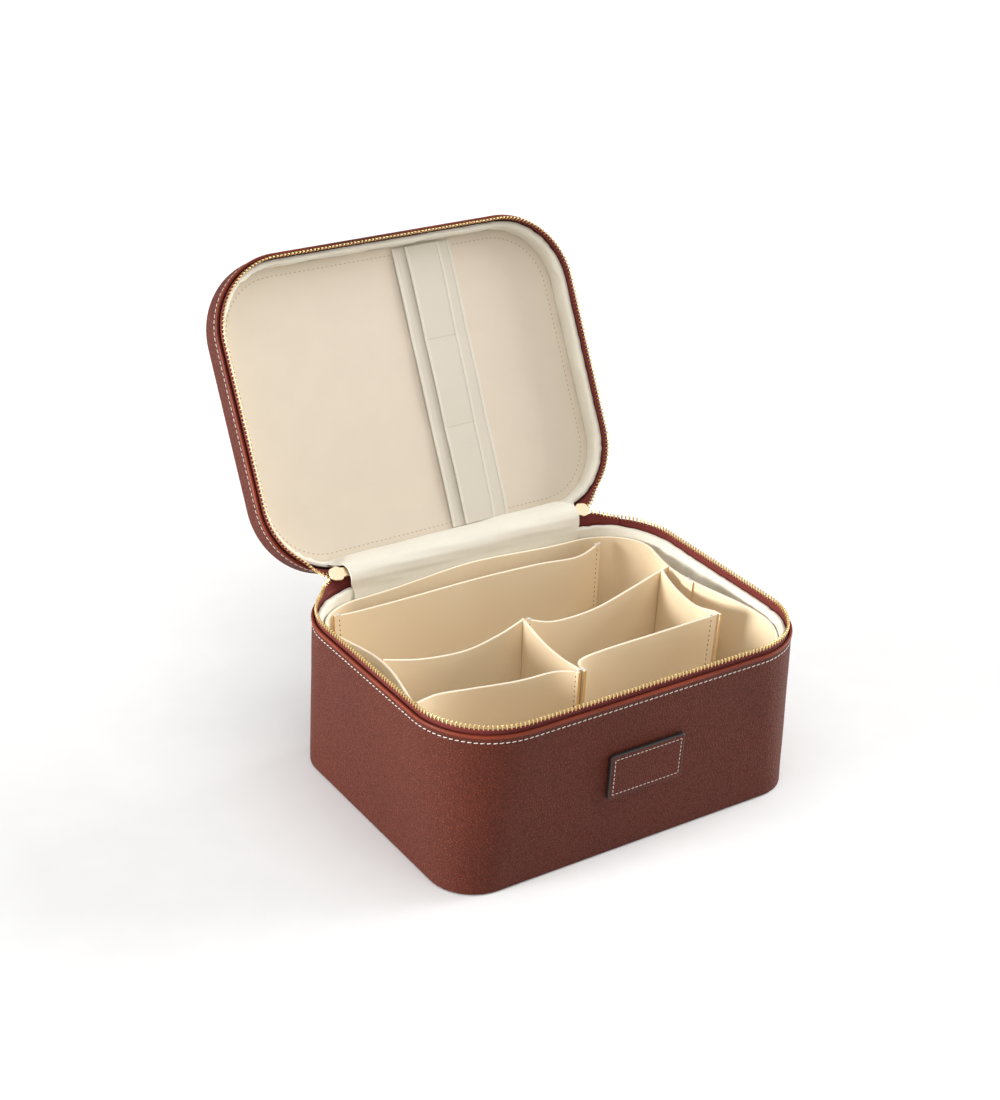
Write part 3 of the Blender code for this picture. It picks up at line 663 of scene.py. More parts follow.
def make_lid_shell():
    """The lid's top and wall leather, crowned in the middle and beaded at the zip."""
    seam = LID_TOP - LID_EDGE
    outside = rim_profile(LID_RIM, 1, seam)
    ladder = [(0, seam + (LID_RIM + FOLD + 1.1 * MM - seam) * k / 4) for k in range(1, 4)]
    arc = [(LID_EDGE * (1 - math.cos(math.pi / 2 * k / 8)), seam + LID_EDGE * math.sin(math.pi / 2 * k / 8))
           for k in range(9)]
    profile = arc[::-1] + ladder + outside[1:] + [(LEATHER, LID_RIM + 12 * MM)]
    rows = [ring(lid_size, z, inset)[0] for inset, z in profile]
    top = rows[0]
    shares = (0.02, 0.15, 0.35, 0.6, 0.8, 0.93)
    inner = [row + (0, 0, LID_CROWN * (1 - share ** 2)) for row, share in zip(shrunk(top, shares), shares)]
    grid = np.array(inner + rows)
    bead = len(grid) - 9
    # The rows from the bead round to the inside take the lighter fold leather, a painted highlight
    shell = surface("lid_leather_skin", opened(grid), [HIDE, HIDE_FOLD_PAINTED_HIGHLIGHT], True, False,
                    slot_of=lambda r: int(bead <= r < len(grid) - 2))
    close_ring(shell, len(top))
    tidy_normals(shell)
    thickness = shell.modifiers.new("Thickness", "SOLIDIFY")
    thickness.thickness = 0.9 * MM
    thickness.offset = -1
    mesh = evaluated(shell)
    shell.modifiers.clear()
    shell.data = mesh
    dressed(shell, "lid", "brown_leather", "lid_top_leather", "lid_wall_leather")


def close_ring(item, count):
    """Fills the first ring of a mesh."""
    work = bmesh.new()
    work.from_mesh(item.data)
    work.verts.ensure_lookup_table()
    work.faces.new([work.verts[i] for i in range(count)])
    work.to_mesh(item.data)
    work.free()


def evaluated(item):
    """A mesh of an object's curve or modifiers."""
    bpy.context.view_layer.update()
    return bpy.data.meshes.new_from_object(item.evaluated_get(bpy.context.evaluated_depsgraph_get()))


# Linings
LINING_FACE = 5.5 * MM
LINING_TOP = RIM - 1.3 * MM
FLOOR = 4.1 * MM
PANEL_FACE = 122.0 * MM
PANEL_INSET = 5.95 * MM


def lining_profile(foot, top):
    """A cloth lining from its foot, over the board's edge to the tape, and down its face."""
    away = 1 if top > foot else -1

    def at(inset, down):
        return inset * MM, top - away * down * MM

    begin = at(5.5, 1.3)
    rows = 26
    face = [begin] + [(LINING_FACE, begin[1] + (foot - begin[1]) * k / rows) for k in range(1, rows + 1)]
    return [(LINING_INSET, foot), at(4.7, 0.75), at(3.2, 0.62), at(2.95, 0.45), at(3.05, 0.2), at(3.5, 0.04),
            at(4.3, 0), at(5.0, 0.25), at(5.4, 0.75)] + face


# Rows of the lining's profile where its fold starts to crumple and where its face begins
FOLD_START = 2
FOLD_ROW = 6
SLOPE = 11 * MM


def bunched(room_of, seed):
    """Lets a lining slope inwards from its fold in soft folds and pleats, as far as the room in front allows.

    room_of gives that room at each point. The fold over the board's edge is crumpled too.
    """

    def bump(grid):
        rows, cols = grid.shape[:2]
        _, normals = ring(case_size, grid[0, 0, 2])
        u = np.broadcast_to(lengths(grid[0])[:-1], (rows, cols))
        v = grid[..., 2]
        down = np.abs(v - v[FOLD_ROW])
        folds = waves(u, v * 0.35, seed, 38 * MM, 2) * 0.5 + 0.5
        pleats = (1 - np.abs(waves(u + v * 0.6, v * 0.25, seed + 1, 21 * MM, 2))) ** 3
        turning = np.abs(normals[:, 0] * normals[:, 1]) > 0.02
        room = room_of(grid)
        depth = np.clip(0.15 + folds * 0.75, 0, 1) * room
        weight = ease(down / SLOPE) * 0.8 + ease(down / (2 * MM)) * 0.2
        gather = pleats * np.where(turning, 1.0, 0.45) * 1.5 * MM * ease(down / (3.5 * MM))
        push = np.minimum(depth * weight + gather, room)
        push[:FOLD_ROW] = 0
        crumple = (1 - np.abs(waves(u, v * 0.2, seed + 2, 13 * MM, 2))) ** 2 * np.where(turning, 1.0, 0.5)
        crumple[:FOLD_START] = 0
        crumple *= 1 - ease((down - 1 * MM) / (6 * MM))
        sink = np.sign(v[-1] - v[FOLD_ROW]) * crumple * 0.7 * MM
        return grid - normals * (push + crumple * 0.45 * MM)[..., None] + np.array([0, 0, 1.0]) * sink[..., None]

    return bump


def case_room(grid):
    """The room between the lining and the organiser's band, which bows inwards at the sides."""
    x, y = grid[..., 0], grid[..., 1]
    side = np.where(x > 0, bow(y, RIGHT_BOW_SHARE, RIGHT_BOW), bow(y, LEFT_BOW_SHARE, LEFT_BOW))
    side = side * (np.abs(x) > HALF_WIDTH - 30 * MM)
    near_strip = (y > HALF_DEPTH - 20 * MM) & (np.abs(x) < 80 * MM)
    return np.where(near_strip, 0.05 * MM, 0.9 * MM + side * 0.6)


def lid_room(grid):
    """The room between the lid's lining and what closes inside it."""
    top_ward = ease((grid[..., 2] - LID_RIM) / (14 * MM))
    near_strip = (grid[..., 1] > HALF_DEPTH - 20 * MM) & (np.abs(grid[..., 0]) < 80 * MM)
    return np.where(near_strip, 0.4 * MM, 1.5 * MM * (1 - top_ward) + 0.8 * MM)


def make_linings():
    wall = swept("wall_lining_cloth", lining_profile(FLOOR, LINING_TOP), case_size, LINING,
                 bump=bunched(case_room, 21))
    dressed(wall, "case", "cream_cloth", "wall_lining")
    lid = swept("lid_wall_lining_cloth", lining_profile(123.2 * MM, 2 * ZIP_MIDDLE - LINING_TOP), lid_size, LINING,
                place=opened, bump=bunched(lid_room, 33))
    dressed(lid, "lid", "cream_cloth", "lid_wall_lining")
    pad = plate_with_soft_edge("floor_lining_pad", case_size, 5.8 * MM, FLOOR, 6.1 * MM, LINING)
    dressed(pad, "case", "cream_cloth", "floor_lining")


def plate_with_soft_edge(name, size, inset, low, high, material, place=None, edge=0.7 * MM):
    """A flat panel from low to high, with the edge round its face at high rounded."""
    away = 1 if high > low else -1
    arc = [(edge * (1 - math.sin(a)), edge * (1 - math.cos(a))) for a in np.linspace(0, math.pi / 2, 5)]
    side = [(inset + i, high - away * down) for i, down in arc] + [(inset, low), (inset + 0.3 * MM, low)]
    outline_rows = [ring(size, z, i)[0] for i, z in side]
    face = shrunk(outline_rows[0], (0.02, 0.12, 0.25, 0.4, 0.55, 0.7, 0.82, 0.9, 0.95, 0.98))
    back = shrunk(outline_rows[-1], (0.9, 0.5, 0.02))
    grid = np.array(face + outline_rows + back)
    uv = grid[..., :2].copy()
    if place is not None:
        grid = place(grid)
    item = surface(name, grid, material, True, False, uv, caps="v")
    return tidy_normals(item)


def make_lid_panel():
    panel = plate_with_soft_edge("lid_panel_cloth", lid_size, PANEL_INSET, PANEL_FACE + 1.2 * MM, PANEL_FACE, PANEL,
                                 place=opened)
    dressed(panel, "lid", "cream_suede", "lid_panel")
    points, normals = ring(lid_size, PANEL_FACE - 0.02 * MM, PANEL_INSET + 5.2 * MM)
    at, way, _ = spaced(points, normals, 3.0 * MM)
    down = np.tile([0, 0, -1.0], (len(at), 1))
    side = np.cross(down, way)
    # Darker dots along the stitch line, painted shade of its holes
    holes = copies("panel_stitch_hole_shades", capsule(1.0 * MM, 0.26 * MM),
                   (opened(at), opened_way(way), opened_way(side), opened_way(down)), PANEL_HOLE_SHADE)
    dressed(holes, "lid", "cream_suede")


# Elastic loops on the lid panel
BAND_ROWS = (-82 * MM, -28 * MM, 25.5 * MM, 82 * MM)
BAND_REACH = 84.5 * MM


def band_rise(y):
    """How far a loop of the elastic stands off the panel at a place along it."""
    total = np.zeros_like(y)
    for low, high in zip(BAND_ROWS, BAND_ROWS[1:]):
        share = np.clip((y - low) / (high - low), 0, 1)
        total = np.maximum(total, np.sin(math.pi * share) ** 0.7)
    return total


def make_elastic(name, node, left, right, face, thickness, rise, edge_width):
    """left and right are the band's sides at the front and at the hinge end."""
    steps = 90
    y = np.linspace(-BAND_REACH, BAND_REACH, steps)
    share = (y + BAND_REACH) / (2 * BAND_REACH)
    low = left[0] + (left[1] - left[0]) * share
    high = right[0] + (right[1] - right[0]) * share
    width = high - low
    height = face - band_rise(y) * rise
    cord = 0.22 * MM
    e = edge_width / 2
    cross = [(0, 0), (0.08 * MM, cord), (e * 0.5, cord * 1.3), (e * 0.95, cord), (e, 0.05 * MM), (e * 1.05, cord),
             (e * 1.5, cord * 1.3), (e * 1.9, cord), (2 * e, 0.02 * MM)]
    middle = 7
    rows = [(low + inset, height - lift) for inset, lift in cross]
    rows += [(low + 2 * e + (width - 4 * e) * k / middle, height) for k in range(1, middle)]
    rows += [(high - inset, height - lift) for inset, lift in cross[::-1]]
    rows += [(high, height + thickness), (low, height + thickness)]
    grid = np.array([np.stack([x, y, z], axis=1) for x, z in rows])
    first = len(cross) + middle - 1
    edges = [*range(len(cross) - 1), *range(first, first + len(cross) - 1)]
    item = surface(name, opened(grid), [ELASTIC, ELASTIC_EDGE], False, True, grid[..., :2].copy(), caps="u",
                   slot_of=lambda r: int(r in edges))
    return dressed(tidy_normals(item), "lid", "elastic", node)


def make_elastics():
    base = PANEL_FACE - 0.3 * MM
    wide = ((8.0 * MM, 6.3 * MM), (47.9 * MM, 45.9 * MM))
    narrow = ((16.4 * MM, 14.7 * MM), (40.2 * MM, 36.0 * MM))
    band = make_elastic("wide_elastic_band", "wide_elastic", *wide, base - 0.75 * MM, 0.75 * MM, 0.55 * MM, 1.9 * MM)
    band = make_elastic("narrow_elastic_band", "narrow_elastic", *narrow, base - 1.7 * MM, 0.7 * MM, 0.75 * MM,
                        1.7 * MM)
    for number, y in enumerate(BAND_ROWS[1:3]):
        share = (y + BAND_REACH) / (2 * BAND_REACH)
        left, right = (side[0] + (side[1] - side[0]) * share for side in narrow)
        x = np.linspace(left + 1 * MM, right - 1 * MM, 60)
        points = np.stack([x, np.full_like(x, y), np.full_like(x, base - 1.75 * MM)], axis=1)
        normals = np.tile([0, 0, -1.0], (len(x), 1))
        stitches(f"band_stitches_{number}", points, normals, "lid", False, opened, 0, 1.9 * MM, 1.4 * MM,
                 0.2 * MM, THREAD_CREAM, "elastic")


# Cloth strip inside the hinge and leather strip outside it
def bezier(knots, count):
    t = np.linspace(0, 1, count)[:, None]
    a, b, c, d = (np.asarray(k, float) for k in knots)
    return a * (1 - t) ** 3 + 3 * b * (1 - t) ** 2 * t + 3 * c * (1 - t) * t ** 2 + d * t ** 3


def strip(name, path, half_width, thickness, material, folds, seed, across=70, flare=0.0, shift=None):
    """A strip across the hinge, along a path of (y, z), with folds along the hinge and a wider far end."""
    path = np.asarray(path)
    step = np.gradient(path, axis=0)
    out = unit(np.stack([-step[:, 1], step[:, 0]], axis=1))
    along = lengths(path, False)
    total = along[-1]
    share = along / total
    widths = half_width + flare * (0.2 * ease((share - 0.1) / 0.15) + 0.8 * ease((share - 0.5) / 0.25))
    u = widths[:, None] * np.linspace(-1, 1, across)
    v = along[:, None] + 0 * u
    fade = ease(v / (8 * MM)) * ease((total - v) / (8 * MM))
    push = folds * waves(u * 0.5, v * 1.4, seed, 24 * MM, 3) * fade
    front = np.zeros((len(path), across, 3))
    front[..., 0] = u
    front[..., 1] = path[:, 0, None] + out[:, 0, None] * (push + thickness / 2)
    front[..., 2] = path[:, 1, None] + out[:, 1, None] * (push + thickness / 2)
    if shift is not None:
        front += shift(u, v / total)
    behind = front.copy()
    behind[..., 1] -= out[:, 0, None] * thickness
    behind[..., 2] -= out[:, 1, None] * thickness
    grid = np.concatenate([front, behind[::-1]])
    uv = np.concatenate([np.stack([u, v], axis=-1), np.stack([u, v], axis=-1)[::-1]])
    return tidy_normals(surface(name, grid, material, False, True, uv, caps="u"))


STRIP_INSET = 6.2 * MM
CLOTH = 0.8 * MM


def hinge_point(y, z, share=1.0):
    """Y and Z of a point given from the hinge line in the closed lid."""
    return opened(np.array([0, y, z]) + AXIS, share)[1:]


def round_corner(x, share):
    """Draws the strip's wide end in with the lid's corners, and lays its sides down on the lid's lining."""
    reach = RIM_RADIUS - STRIP_INSET
    past = np.maximum(np.abs(x) - (HALF_WIDTH - RIM_RADIUS), 0)
    drop = reach - np.sqrt(reach ** 2 - past ** 2)
    sink = 3.2 * MM * ease((np.abs(x) - HALF_WIDTH + RIM_RADIUS) / (9 * MM)) * ease((share - 0.45) / 0.2)
    sink = sink * (1 - 0.7 * ease((share - 0.8) / 0.2))
    return opened_way([0, -1.0, 0]) * (drop * ease(share))[..., None] - np.array([0, 0, 1.0]) * sink[..., None]


def make_hinge_strips():
    start = np.array([HALF_DEPTH - STRIP_INSET, RIM])
    edge = (HALF_DEPTH - STRIP_INSET - CLOTH - AXIS[1], PANEL_FACE - CLOTH - AXIS[2])
    end = hinge_point(*edge)
    lift = start + (0, 15.2 * MM)
    reach = hinge_point(edge[0] - 2.6 * MM, edge[1] - 15 * MM)
    tuck = [(case_size(z)[1] - STRIP_INSET, z) for z in np.linspace(RIM - 9 * MM, RIM, 8)[:-1]]
    path = np.vstack([tuck, bezier((start, lift, reach, end), 44)])
    cloth = strip("hinge_lining_cloth", path, 77.5 * MM, CLOTH, LINING, 0.6 * MM, 51, flare=9 * MM,
                  shift=round_corner)
    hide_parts("hinge_lining")
    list(hinge_point(-9.4 * MM, 7.8 * MM))
    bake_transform(cloth)

    low = RIM - 15 * MM
    outside = HALF_DEPTH - AXIS[1]
    path = [(case_size(z)[1] - outside, z) for z in np.linspace(low, RIM - 0.5 * MM, 10)]
    path += [hinge_point(0, (t - 0.5) * 2 * HALF_ZIP_GAP, float(ease(t))) for t in np.linspace(0, 1, 26)]
    path += [hinge_point(0, z) for z in np.linspace(6.2 * MM, 17.05 * MM, 8)]
    hide = strip("hinge_leather_strip", path, 65.7 * MM, 1.2 * MM, HIDE, 0, 5, across=40)
    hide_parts("hinge_leather")
    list(hinge_point(0, -HALF_ZIP_GAP, 0))
    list(hinge_point(0, HALF_ZIP_GAP))
    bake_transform(hide)


# Zip
ZIP_TURN_FROM = 103 * MM
TOOTH_PITCH = 2.4 * MM
TOOTH_HEIGHT = 2.85 * MM
TOOTH_FOOT = 100.0 * MM


def tooth():
    """One element: a leg clamped on the tape's cord, and a wider rounded head."""
    sections = [
        (0.38, 0.66, 0.0), (0.46, 0.76, 0.15), (0.46, 0.76, 1.2), (0.42, 0.66, 1.5), (0.55, 0.64, 1.9),
        (0.60, 0.62, 2.35), (0.50, 0.52, 2.7), (0.28, 0.30, 2.85),
    ]
    return stack([oval(x * MM, y * MM, z * MM) for x, y, z in sections])


def front_line(size, z, inset):
    """The outline from the back left corner round the front to the back right, clear of the hinge."""
    middle, _ = ring(case_size, RIM, TAPE_INSET, ZIP_CORNER_STEPS)
    keep = np.flatnonzero((middle[:, 1] < 0) | (np.abs(middle[:, 0]) > ZIP_TURN_FROM))
    points, normals = ring(size, z, inset, ZIP_CORNER_STEPS)
    return points[keep], normals[keep]


def make_zip_half(prefix, body):
    points, normals = front_line(case_size, RIM, TAPE_INSET)
    at, way, _ = spaced(points, normals, TOOTH_PITCH, closed=False)
    at[:, 2] = TOOTH_FOOT
    up = np.tile([0, 0, 1.0], (len(at), 1))
    frames = [at, way, np.cross(up, way), up]
    if body == "lid":
        frames = lid_frames(*frames)
    teeth = copies(prefix + "_zip_teeth", tooth(), frames, BRASS)
    dressed(teeth, body, "brass", prefix + "_zip_chain")

    profile = [(2.5, 88.8), (2.5, 99.2), (2.7, 99.5), (2.76, 99.9), (2.55, 100.25), (2.2, 100.35), (1.85, 100.25),
               (1.64, 99.9), (1.7, 99.5), (1.9, 99.2), (1.9, 88.8)]
    grid = np.array([front_line(case_size, z * MM, inset * MM)[0] for inset, z in profile])
    along = lengths(grid[0], False)
    uv = np.stack(np.meshgrid(along, [z * MM for _, z in profile]), axis=-1)
    if body == "lid":
        grid = mirrored(grid)
    tape = tidy_normals(surface(prefix + "_tape", grid, TAPE, False, True, uv, caps="u"))
    dressed(tape, body, "zip_tape", prefix + "_zip_tape")


def lid_frames(at, x, y, z):
    """Mirrors places on the case's half of the zip to the lid's half, and opens them."""
    flip = np.array([1, 1, -1.0])
    return mirrored(at), opened_way(x * flip), -opened_way(y * flip), opened_way(z * flip)


ZIP_TURN_X = abs(front_line(case_size, RIM, TAPE_INSET)[0][0, 0])
HALF_TURN = OPEN_ANGLE / 2
ACROSS = np.array([0, math.sin(HALF_TURN), math.cos(HALF_TURN)])
OUTWARD = np.array([0, math.cos(HALF_TURN), -math.sin(HALF_TURN)])
MOUTH_X = 89 * MM
STUB_X = (66.0 * MM, 77.7 * MM)
CHAIN_REACH = 1.3 * MM


def wall_y(x, inset):
    """Y of the back outline at a place beside the middle."""
    corner_x = HALF_WIDTH - RIM_RADIUS
    reach = RIM_RADIUS - inset
    return HALF_DEPTH - RIM_RADIUS + math.sqrt(reach ** 2 - max(x - corner_x, 0) ** 2)


def chain_turn(side, count):
    """The case's half of the zip from the outline into the slider: tips of the teeth, and their way up."""
    start = np.array([ZIP_TURN_X, wall_y(ZIP_TURN_X, TAPE_INSET), TOOTH_FOOT + TOOTH_HEIGHT])
    end = np.array([MOUTH_X, 0, 0]) + (0, AXIS[1], AXIS[2]) - ACROSS * (TOOTH_HEIGHT - CHAIN_REACH * 2) * 0.5
    lean = math.asin((ZIP_TURN_X - HALF_WIDTH + RIM_RADIUS) / (RIM_RADIUS - TAPE_INSET))
    tangent = np.array([-math.cos(lean), math.sin(lean), 0])
    line = bezier((start, start + tangent * 6.5 * MM, end + (6 * MM, 0, 0), end), count)
    turn = ease(np.linspace(0, 1, count))[:, None]
    up = unit((1 - turn) * (0, 0, 1.0) + turn * ACROSS)
    return line * (side, 1, 1), up


def blended(item, half, side):
    """Bakes a piece near the slider into place as it stands; it is not bent."""
    start = np.array([side * ZIP_TURN_X, 0, TOOTH_FOOT + TOOTH_HEIGHT])
    end = start + (-side * 7.5 * MM, 0, 12 * MM)
    bend_between(item, half, start, end)


def bend_between(item, half, start, end):
    """Bakes a piece of one half of the zip into place as it stands; it is not blended."""
    if half == "base":
        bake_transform(item)
    else:
        tuple(mirrored(start))
        tuple(mirrored(end))
        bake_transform(item)


def mirrored(points):
    """From the case's half of the open zip to the lid's."""
    points = np.asarray(points, float)
    return opened(points * (1, 1, -1) + (0, 0, 2 * ZIP_MIDDLE))


def make_zip_turn(half, side, label):
    line, up = chain_turn(side, 60)
    at, way, _ = spaced(line, up, TOOTH_PITCH, closed=False)
    rise = unit(sample(up, lengths(line, False), (np.arange(len(at)) + 0.5) * lengths(line, False)[-1] / len(at)))
    foot = at - rise * TOOTH_HEIGHT
    normal = unit(np.cross(rise, way))
    frames = [foot, unit(np.cross(normal, rise)), normal, rise]
    if half == "lid":
        frames = lid_frames(*frames)
    teeth = copies(f"{half}_turn_teeth_{label}", tooth(), frames, BRASS)
    blended(teeth, half, side)
    line, up = chain_turn(side, 24)
    tape_ribbon(f"{half}_turn_tape_{label}", half, side, line - up * (TOOTH_HEIGHT - 1.0 * MM), up, True)
    x = np.linspace(MOUTH_X, STUB_X[0], 20)
    line = np.stack([side * x, 0 * x + line[-1, 1], 0 * x + line[-1, 2]], axis=1)
    up = np.tile(ACROSS, (len(x), 1))
    tape_ribbon(f"{half}_end_tape_{label}", half, side, line - up * (TOOTH_HEIGHT - 1.0 * MM), up, False)


def tape_ribbon(name, half, side, top, up, turning):
    """Tape from the teeth down into the slot between leather and board."""
    count = 9
    rows = []
    foot = np.array([[p[0], wall_y(abs(p[0]), 2.2 * MM), 89 * MM] for p in top])
    bend = np.array([[p[0], wall_y(abs(p[0]), 1.4 * MM), 99.2 * MM] for p in top])
    for k in range(count):
        t = k / (count - 1)
        rows.append(top * (1 - t) ** 2 + bend * 2 * t * (1 - t) + foot * t * t)
    rows = np.array(rows)
    along = np.gradient(rows, axis=1)
    down = np.gradient(rows, axis=0)
    outs = unit(np.cross(down, along)) * side
    outs *= np.sign(outs[..., 1:2] + 1e-9)
    thin = 0.3 * MM
    grid = np.concatenate([rows + outs * thin, (rows - outs * thin)[::-1]])
    lay = np.stack(np.meshgrid(lengths(top, False), np.linspace(0, 12 * MM, count)), axis=-1)
    uv = np.concatenate([lay, lay[::-1]])
    if half == "lid":
        grid = mirrored(grid)
    item = tidy_normals(surface(name, grid, TAPE, False, True, uv, caps="u"))
    if turning:
        blended(item, half, side)
    else:
        start = np.array([0, 0, 97 * MM])
        bend_between(item, half, start, start + (0, 0, 11 * MM))


def make_zip_stub(label, side):
    """The closed teeth between the slider and the hinge strips, from one half and the other by turns."""
    x = np.arange(STUB_X[0] + 0.8 * MM, STUB_X[1] - 0.4 * MM, TOOTH_PITCH / 2)
    up = np.where(np.arange(len(x)) % 2, 1.0, -1.0)[:, None] * ACROSS
    foot = np.stack([side * x, 0 * x + AXIS[1], 0 * x + AXIS[2]], axis=1) - up * (TOOTH_HEIGHT - 0.55 * MM)
    way = np.tile([1.0, 0, 0], (len(x), 1))
    teeth = copies(f"closed_teeth_{label}", tooth(), (foot, way, np.cross(up, way), up), BRASS)
    dressed(teeth, f"zip_end_{label}_body", "brass", f"zip_end_{label}")


# Sliders and pulls
SLIDER_SLOT = 3.8 * MM
PLATE = 1.0 * MM
PIVOT_OUT = 3.95 * MM


def cut_plate(name, lines, thickness, bevel, material):
    """A flat plate from closed outlines, the first one outside and the rest holes, with rounded edges."""
    data = bpy.data.curves.new(name, "CURVE")
    data.dimensions = "2D"
    data.fill_mode = "BOTH"
    data.extrude = thickness / 2 - bevel
    data.bevel_depth = bevel
    data.bevel_resolution = 2
    data.offset = -bevel
    for line in lines:
        spline = data.splines.new("POLY")
        spline.points.add(len(line) - 1)
        for point, (x, y) in zip(spline.points, line):
            point.co = (x, y, 0, 1)
        spline.use_cyclic_u = True
    item = linked(name, data)
    mesh = evaluated(item)
    bpy.data.objects.remove(item)
    mesh.materials.clear()
    mesh.materials.append(material)
    shade(mesh)
    return linked(name, mesh)


def set_in_place(item, x, y, z, origin):
    """Moves a mesh's own X, Y and Z to three directions and its origin to a place."""
    matrix = turned(x, y, z, origin)
    item.data.transform(matrix)
    if matrix.determinant() < 0:
        item.data.flip_normals()
    return item


def round_line(points, steps=4):
    """A closed smooth line through points."""
    ring_points = np.asarray(points, float)
    wrapped = np.vstack([ring_points[-2:], ring_points, ring_points[:2]])
    line = smooth(wrapped, (len(wrapped) - 1) * steps)
    return line[2 * steps:(2 + len(ring_points)) * steps]


# Half of a slider plate's outline, from its nose towards the hinge to its round end, in mm
PLATE_HALF = (
    (-6.0, 0.0), (-6.0, 2.0), (-5.75, 2.8), (-4.6, 3.0), (-3.2, 3.0), (-2.0, 3.3), (-1.0, 4.1), (0.1, 4.65),
    (1.3, 4.6), (2.3, 4.3), (3.6, 4.1), (4.9, 3.5), (5.7, 2.4), (6.0, 1.0),
)


def plate_outline(side):
    upper = [(side * x * MM, y * MM) for x, y in PLATE_HALF]
    lower = [(x, -y) for x, y in upper[:0:-1]]
    return round_line(upper + lower, 3)


def make_slider(label, side):
    centre = np.array([side * SLIDER_X, AXIS[1], AXIS[2]])
    x = np.array([1.0, 0, 0])
    parts = []
    for name, out in (("inner", -1), ("outer", 1)):
        plate = cut_plate(f"slider_{name}_{label}", [plate_outline(side)], PLATE, 0.3 * MM, BRASS_PLATE)
        set_in_place(plate, x, ACROSS, -OUTWARD, centre + OUTWARD * out * (SLIDER_SLOT + PLATE) / 2)
        parts.append(plate)
        for edge in (-1, 1):
            rail = [(side * a * MM, edge * b * MM) for a, b in
                    ((-5.2, 2.1), (-3.0, 2.3), (-1.2, 3.1), (0.2, 3.7), (1.6, 3.5), (1.6, 2.9), (0.1, 3.0),
                     (-1.2, 2.4), (-3.0, 1.75), (-5.2, 1.6))]
            flange = cut_plate(f"slider_rail_{name}_{label}_{edge}", [rail], 0.9 * MM, 0.1 * MM, BRASS_PLATE)
            set_in_place(flange, x, ACROSS, -OUTWARD, centre + OUTWARD * out * (SLIDER_SLOT / 2 - 0.3 * MM))
            parts.append(flange)
    post = [(side * a * MM, b * MM) for a, b in
            ((1.8, 0), (3.4, 0.95), (5.2, 0.6), (5.5, 0), (5.2, -0.6), (3.4, -0.95))]
    post = cut_plate(f"slider_post_{label}", [post], SLIDER_SLOT + 0.8 * MM, 0.1 * MM, BRASS_PLATE)
    parts.append(set_in_place(post, x, ACROSS, -OUTWARD, centre))
    bail = tube(f"slider_bail_{label}", bail_line(), 0.5 * MM, BRASS_PLATE)
    parts.append(set_in_place(bail, x, OUTWARD, ACROSS, centre + OUTWARD * (SLIDER_SLOT / 2 + PLATE)))
    for part in parts:
        dressed(part, f"slider_{label}_body", "brass")
    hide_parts(f"slider_{label}")


def bail_line():
    """A bridge over the outer plate, standing up from both ends."""
    line = [(-2.6, -0.3), (-2.6, 0.8), (-2.3, 1.75), (-1.5, 2.4), (-0.5, 2.62), (0.5, 2.62), (1.5, 2.4), (2.3, 1.75),
            (2.6, 0.8), (2.6, -0.3)]
    return np.array([(x * MM, y * MM, 0) for x, y in line])


def tube(name, line, radius, material, around=10):
    """A slightly flattened wire along a smooth line."""
    line = smooth(line, (len(line) - 1) * 3)
    way = unit(np.gradient(line, axis=0))
    side = np.tile([0, 0, 1.0], (len(line), 1))
    other = np.cross(way, side)
    rings = [line + side * radius * 1.15 * math.cos(angle) + other * radius * math.sin(angle)
             for angle in (math.tau * k / around for k in range(around))]
    return tidy_normals(surface(name, np.array(rings), material, False, True, caps="u"))


def make_pull(label, side):
    """A flat pull with a window in its head, hanging from the slider's bridge."""
    head = 2.5
    half = 3.9
    tip = 3.1
    outline = [(-0.5, -1.6), (-0.5, 1.6), (0.1, head), (2.4, head), (3.4, head + 0.15), (5.2, 3.3), (7.4, half),
               (14, half), (21.6, half), (23.2, tip + 0.35), (23.9, tip - 0.6), (24, 0), (23.9, -tip + 0.6),
               (23.2, -tip - 0.35), (21.6, -half), (14, -half), (7.4, -half), (5.2, -3.3), (3.4, -head - 0.15),
               (2.4, -head), (0.1, -head)]
    window = [(0.5, -1.2), (2.0, -1.2), (2.7, -0.8), (2.9, 0), (2.7, 0.8), (2.0, 1.2), (0.5, 1.2)]
    lines = [round_line([(x * MM, y * MM) for x, y in outline], 3), [(x * MM, y * MM) for x, y in window]]
    pull = cut_plate(f"pull_tab_{label}", lines, 1.0 * MM, 0.28 * MM, BRASS_PLATE)
    pivot = np.array([side * SLIDER_X, AXIS[1], AXIS[2]]) + OUTWARD * PIVOT_OUT
    set_in_place(pull, OUTWARD, ACROSS, np.cross(OUTWARD, ACROSS), pivot)
    dressed(pull, f"pull_{label}_body", "brass", f"pull_{label}")


def make_zip():
    make_zip_half("base", "case")
    make_zip_half("lid", "lid")
    for label, side in (("left", -1), ("right", 1)):
        for half in ("base", "lid"):
            make_zip_turn(half, side, label)
        make_zip_stub(label, side)
        make_slider(label, side)
        make_pull(label, side)


# Organiser of sewn sheets
ORGANISER_FOOT = 6.4 * MM
ORGANISER_TOP = 94.4 * MM
BAND_INSET = 7.0 * MM
END_CLEARANCE = 0.4 * MM
RIGHT_BOW = 12.5 * MM
LEFT_BOW = 8.5 * MM
BOW_LENGTH = 64 * MM
RIGHT_BOW_SHARE = 0.13
LEFT_BOW_SHARE = 0.14
BAND_SCALLOP = 4.2 * MM
SCALLOP = 9.5 * MM
DIVIDER_TOP = ORGANISER_TOP - 0.3 * MM
POCKET_TOP = ORGANISER_TOP - 5.0 * MM

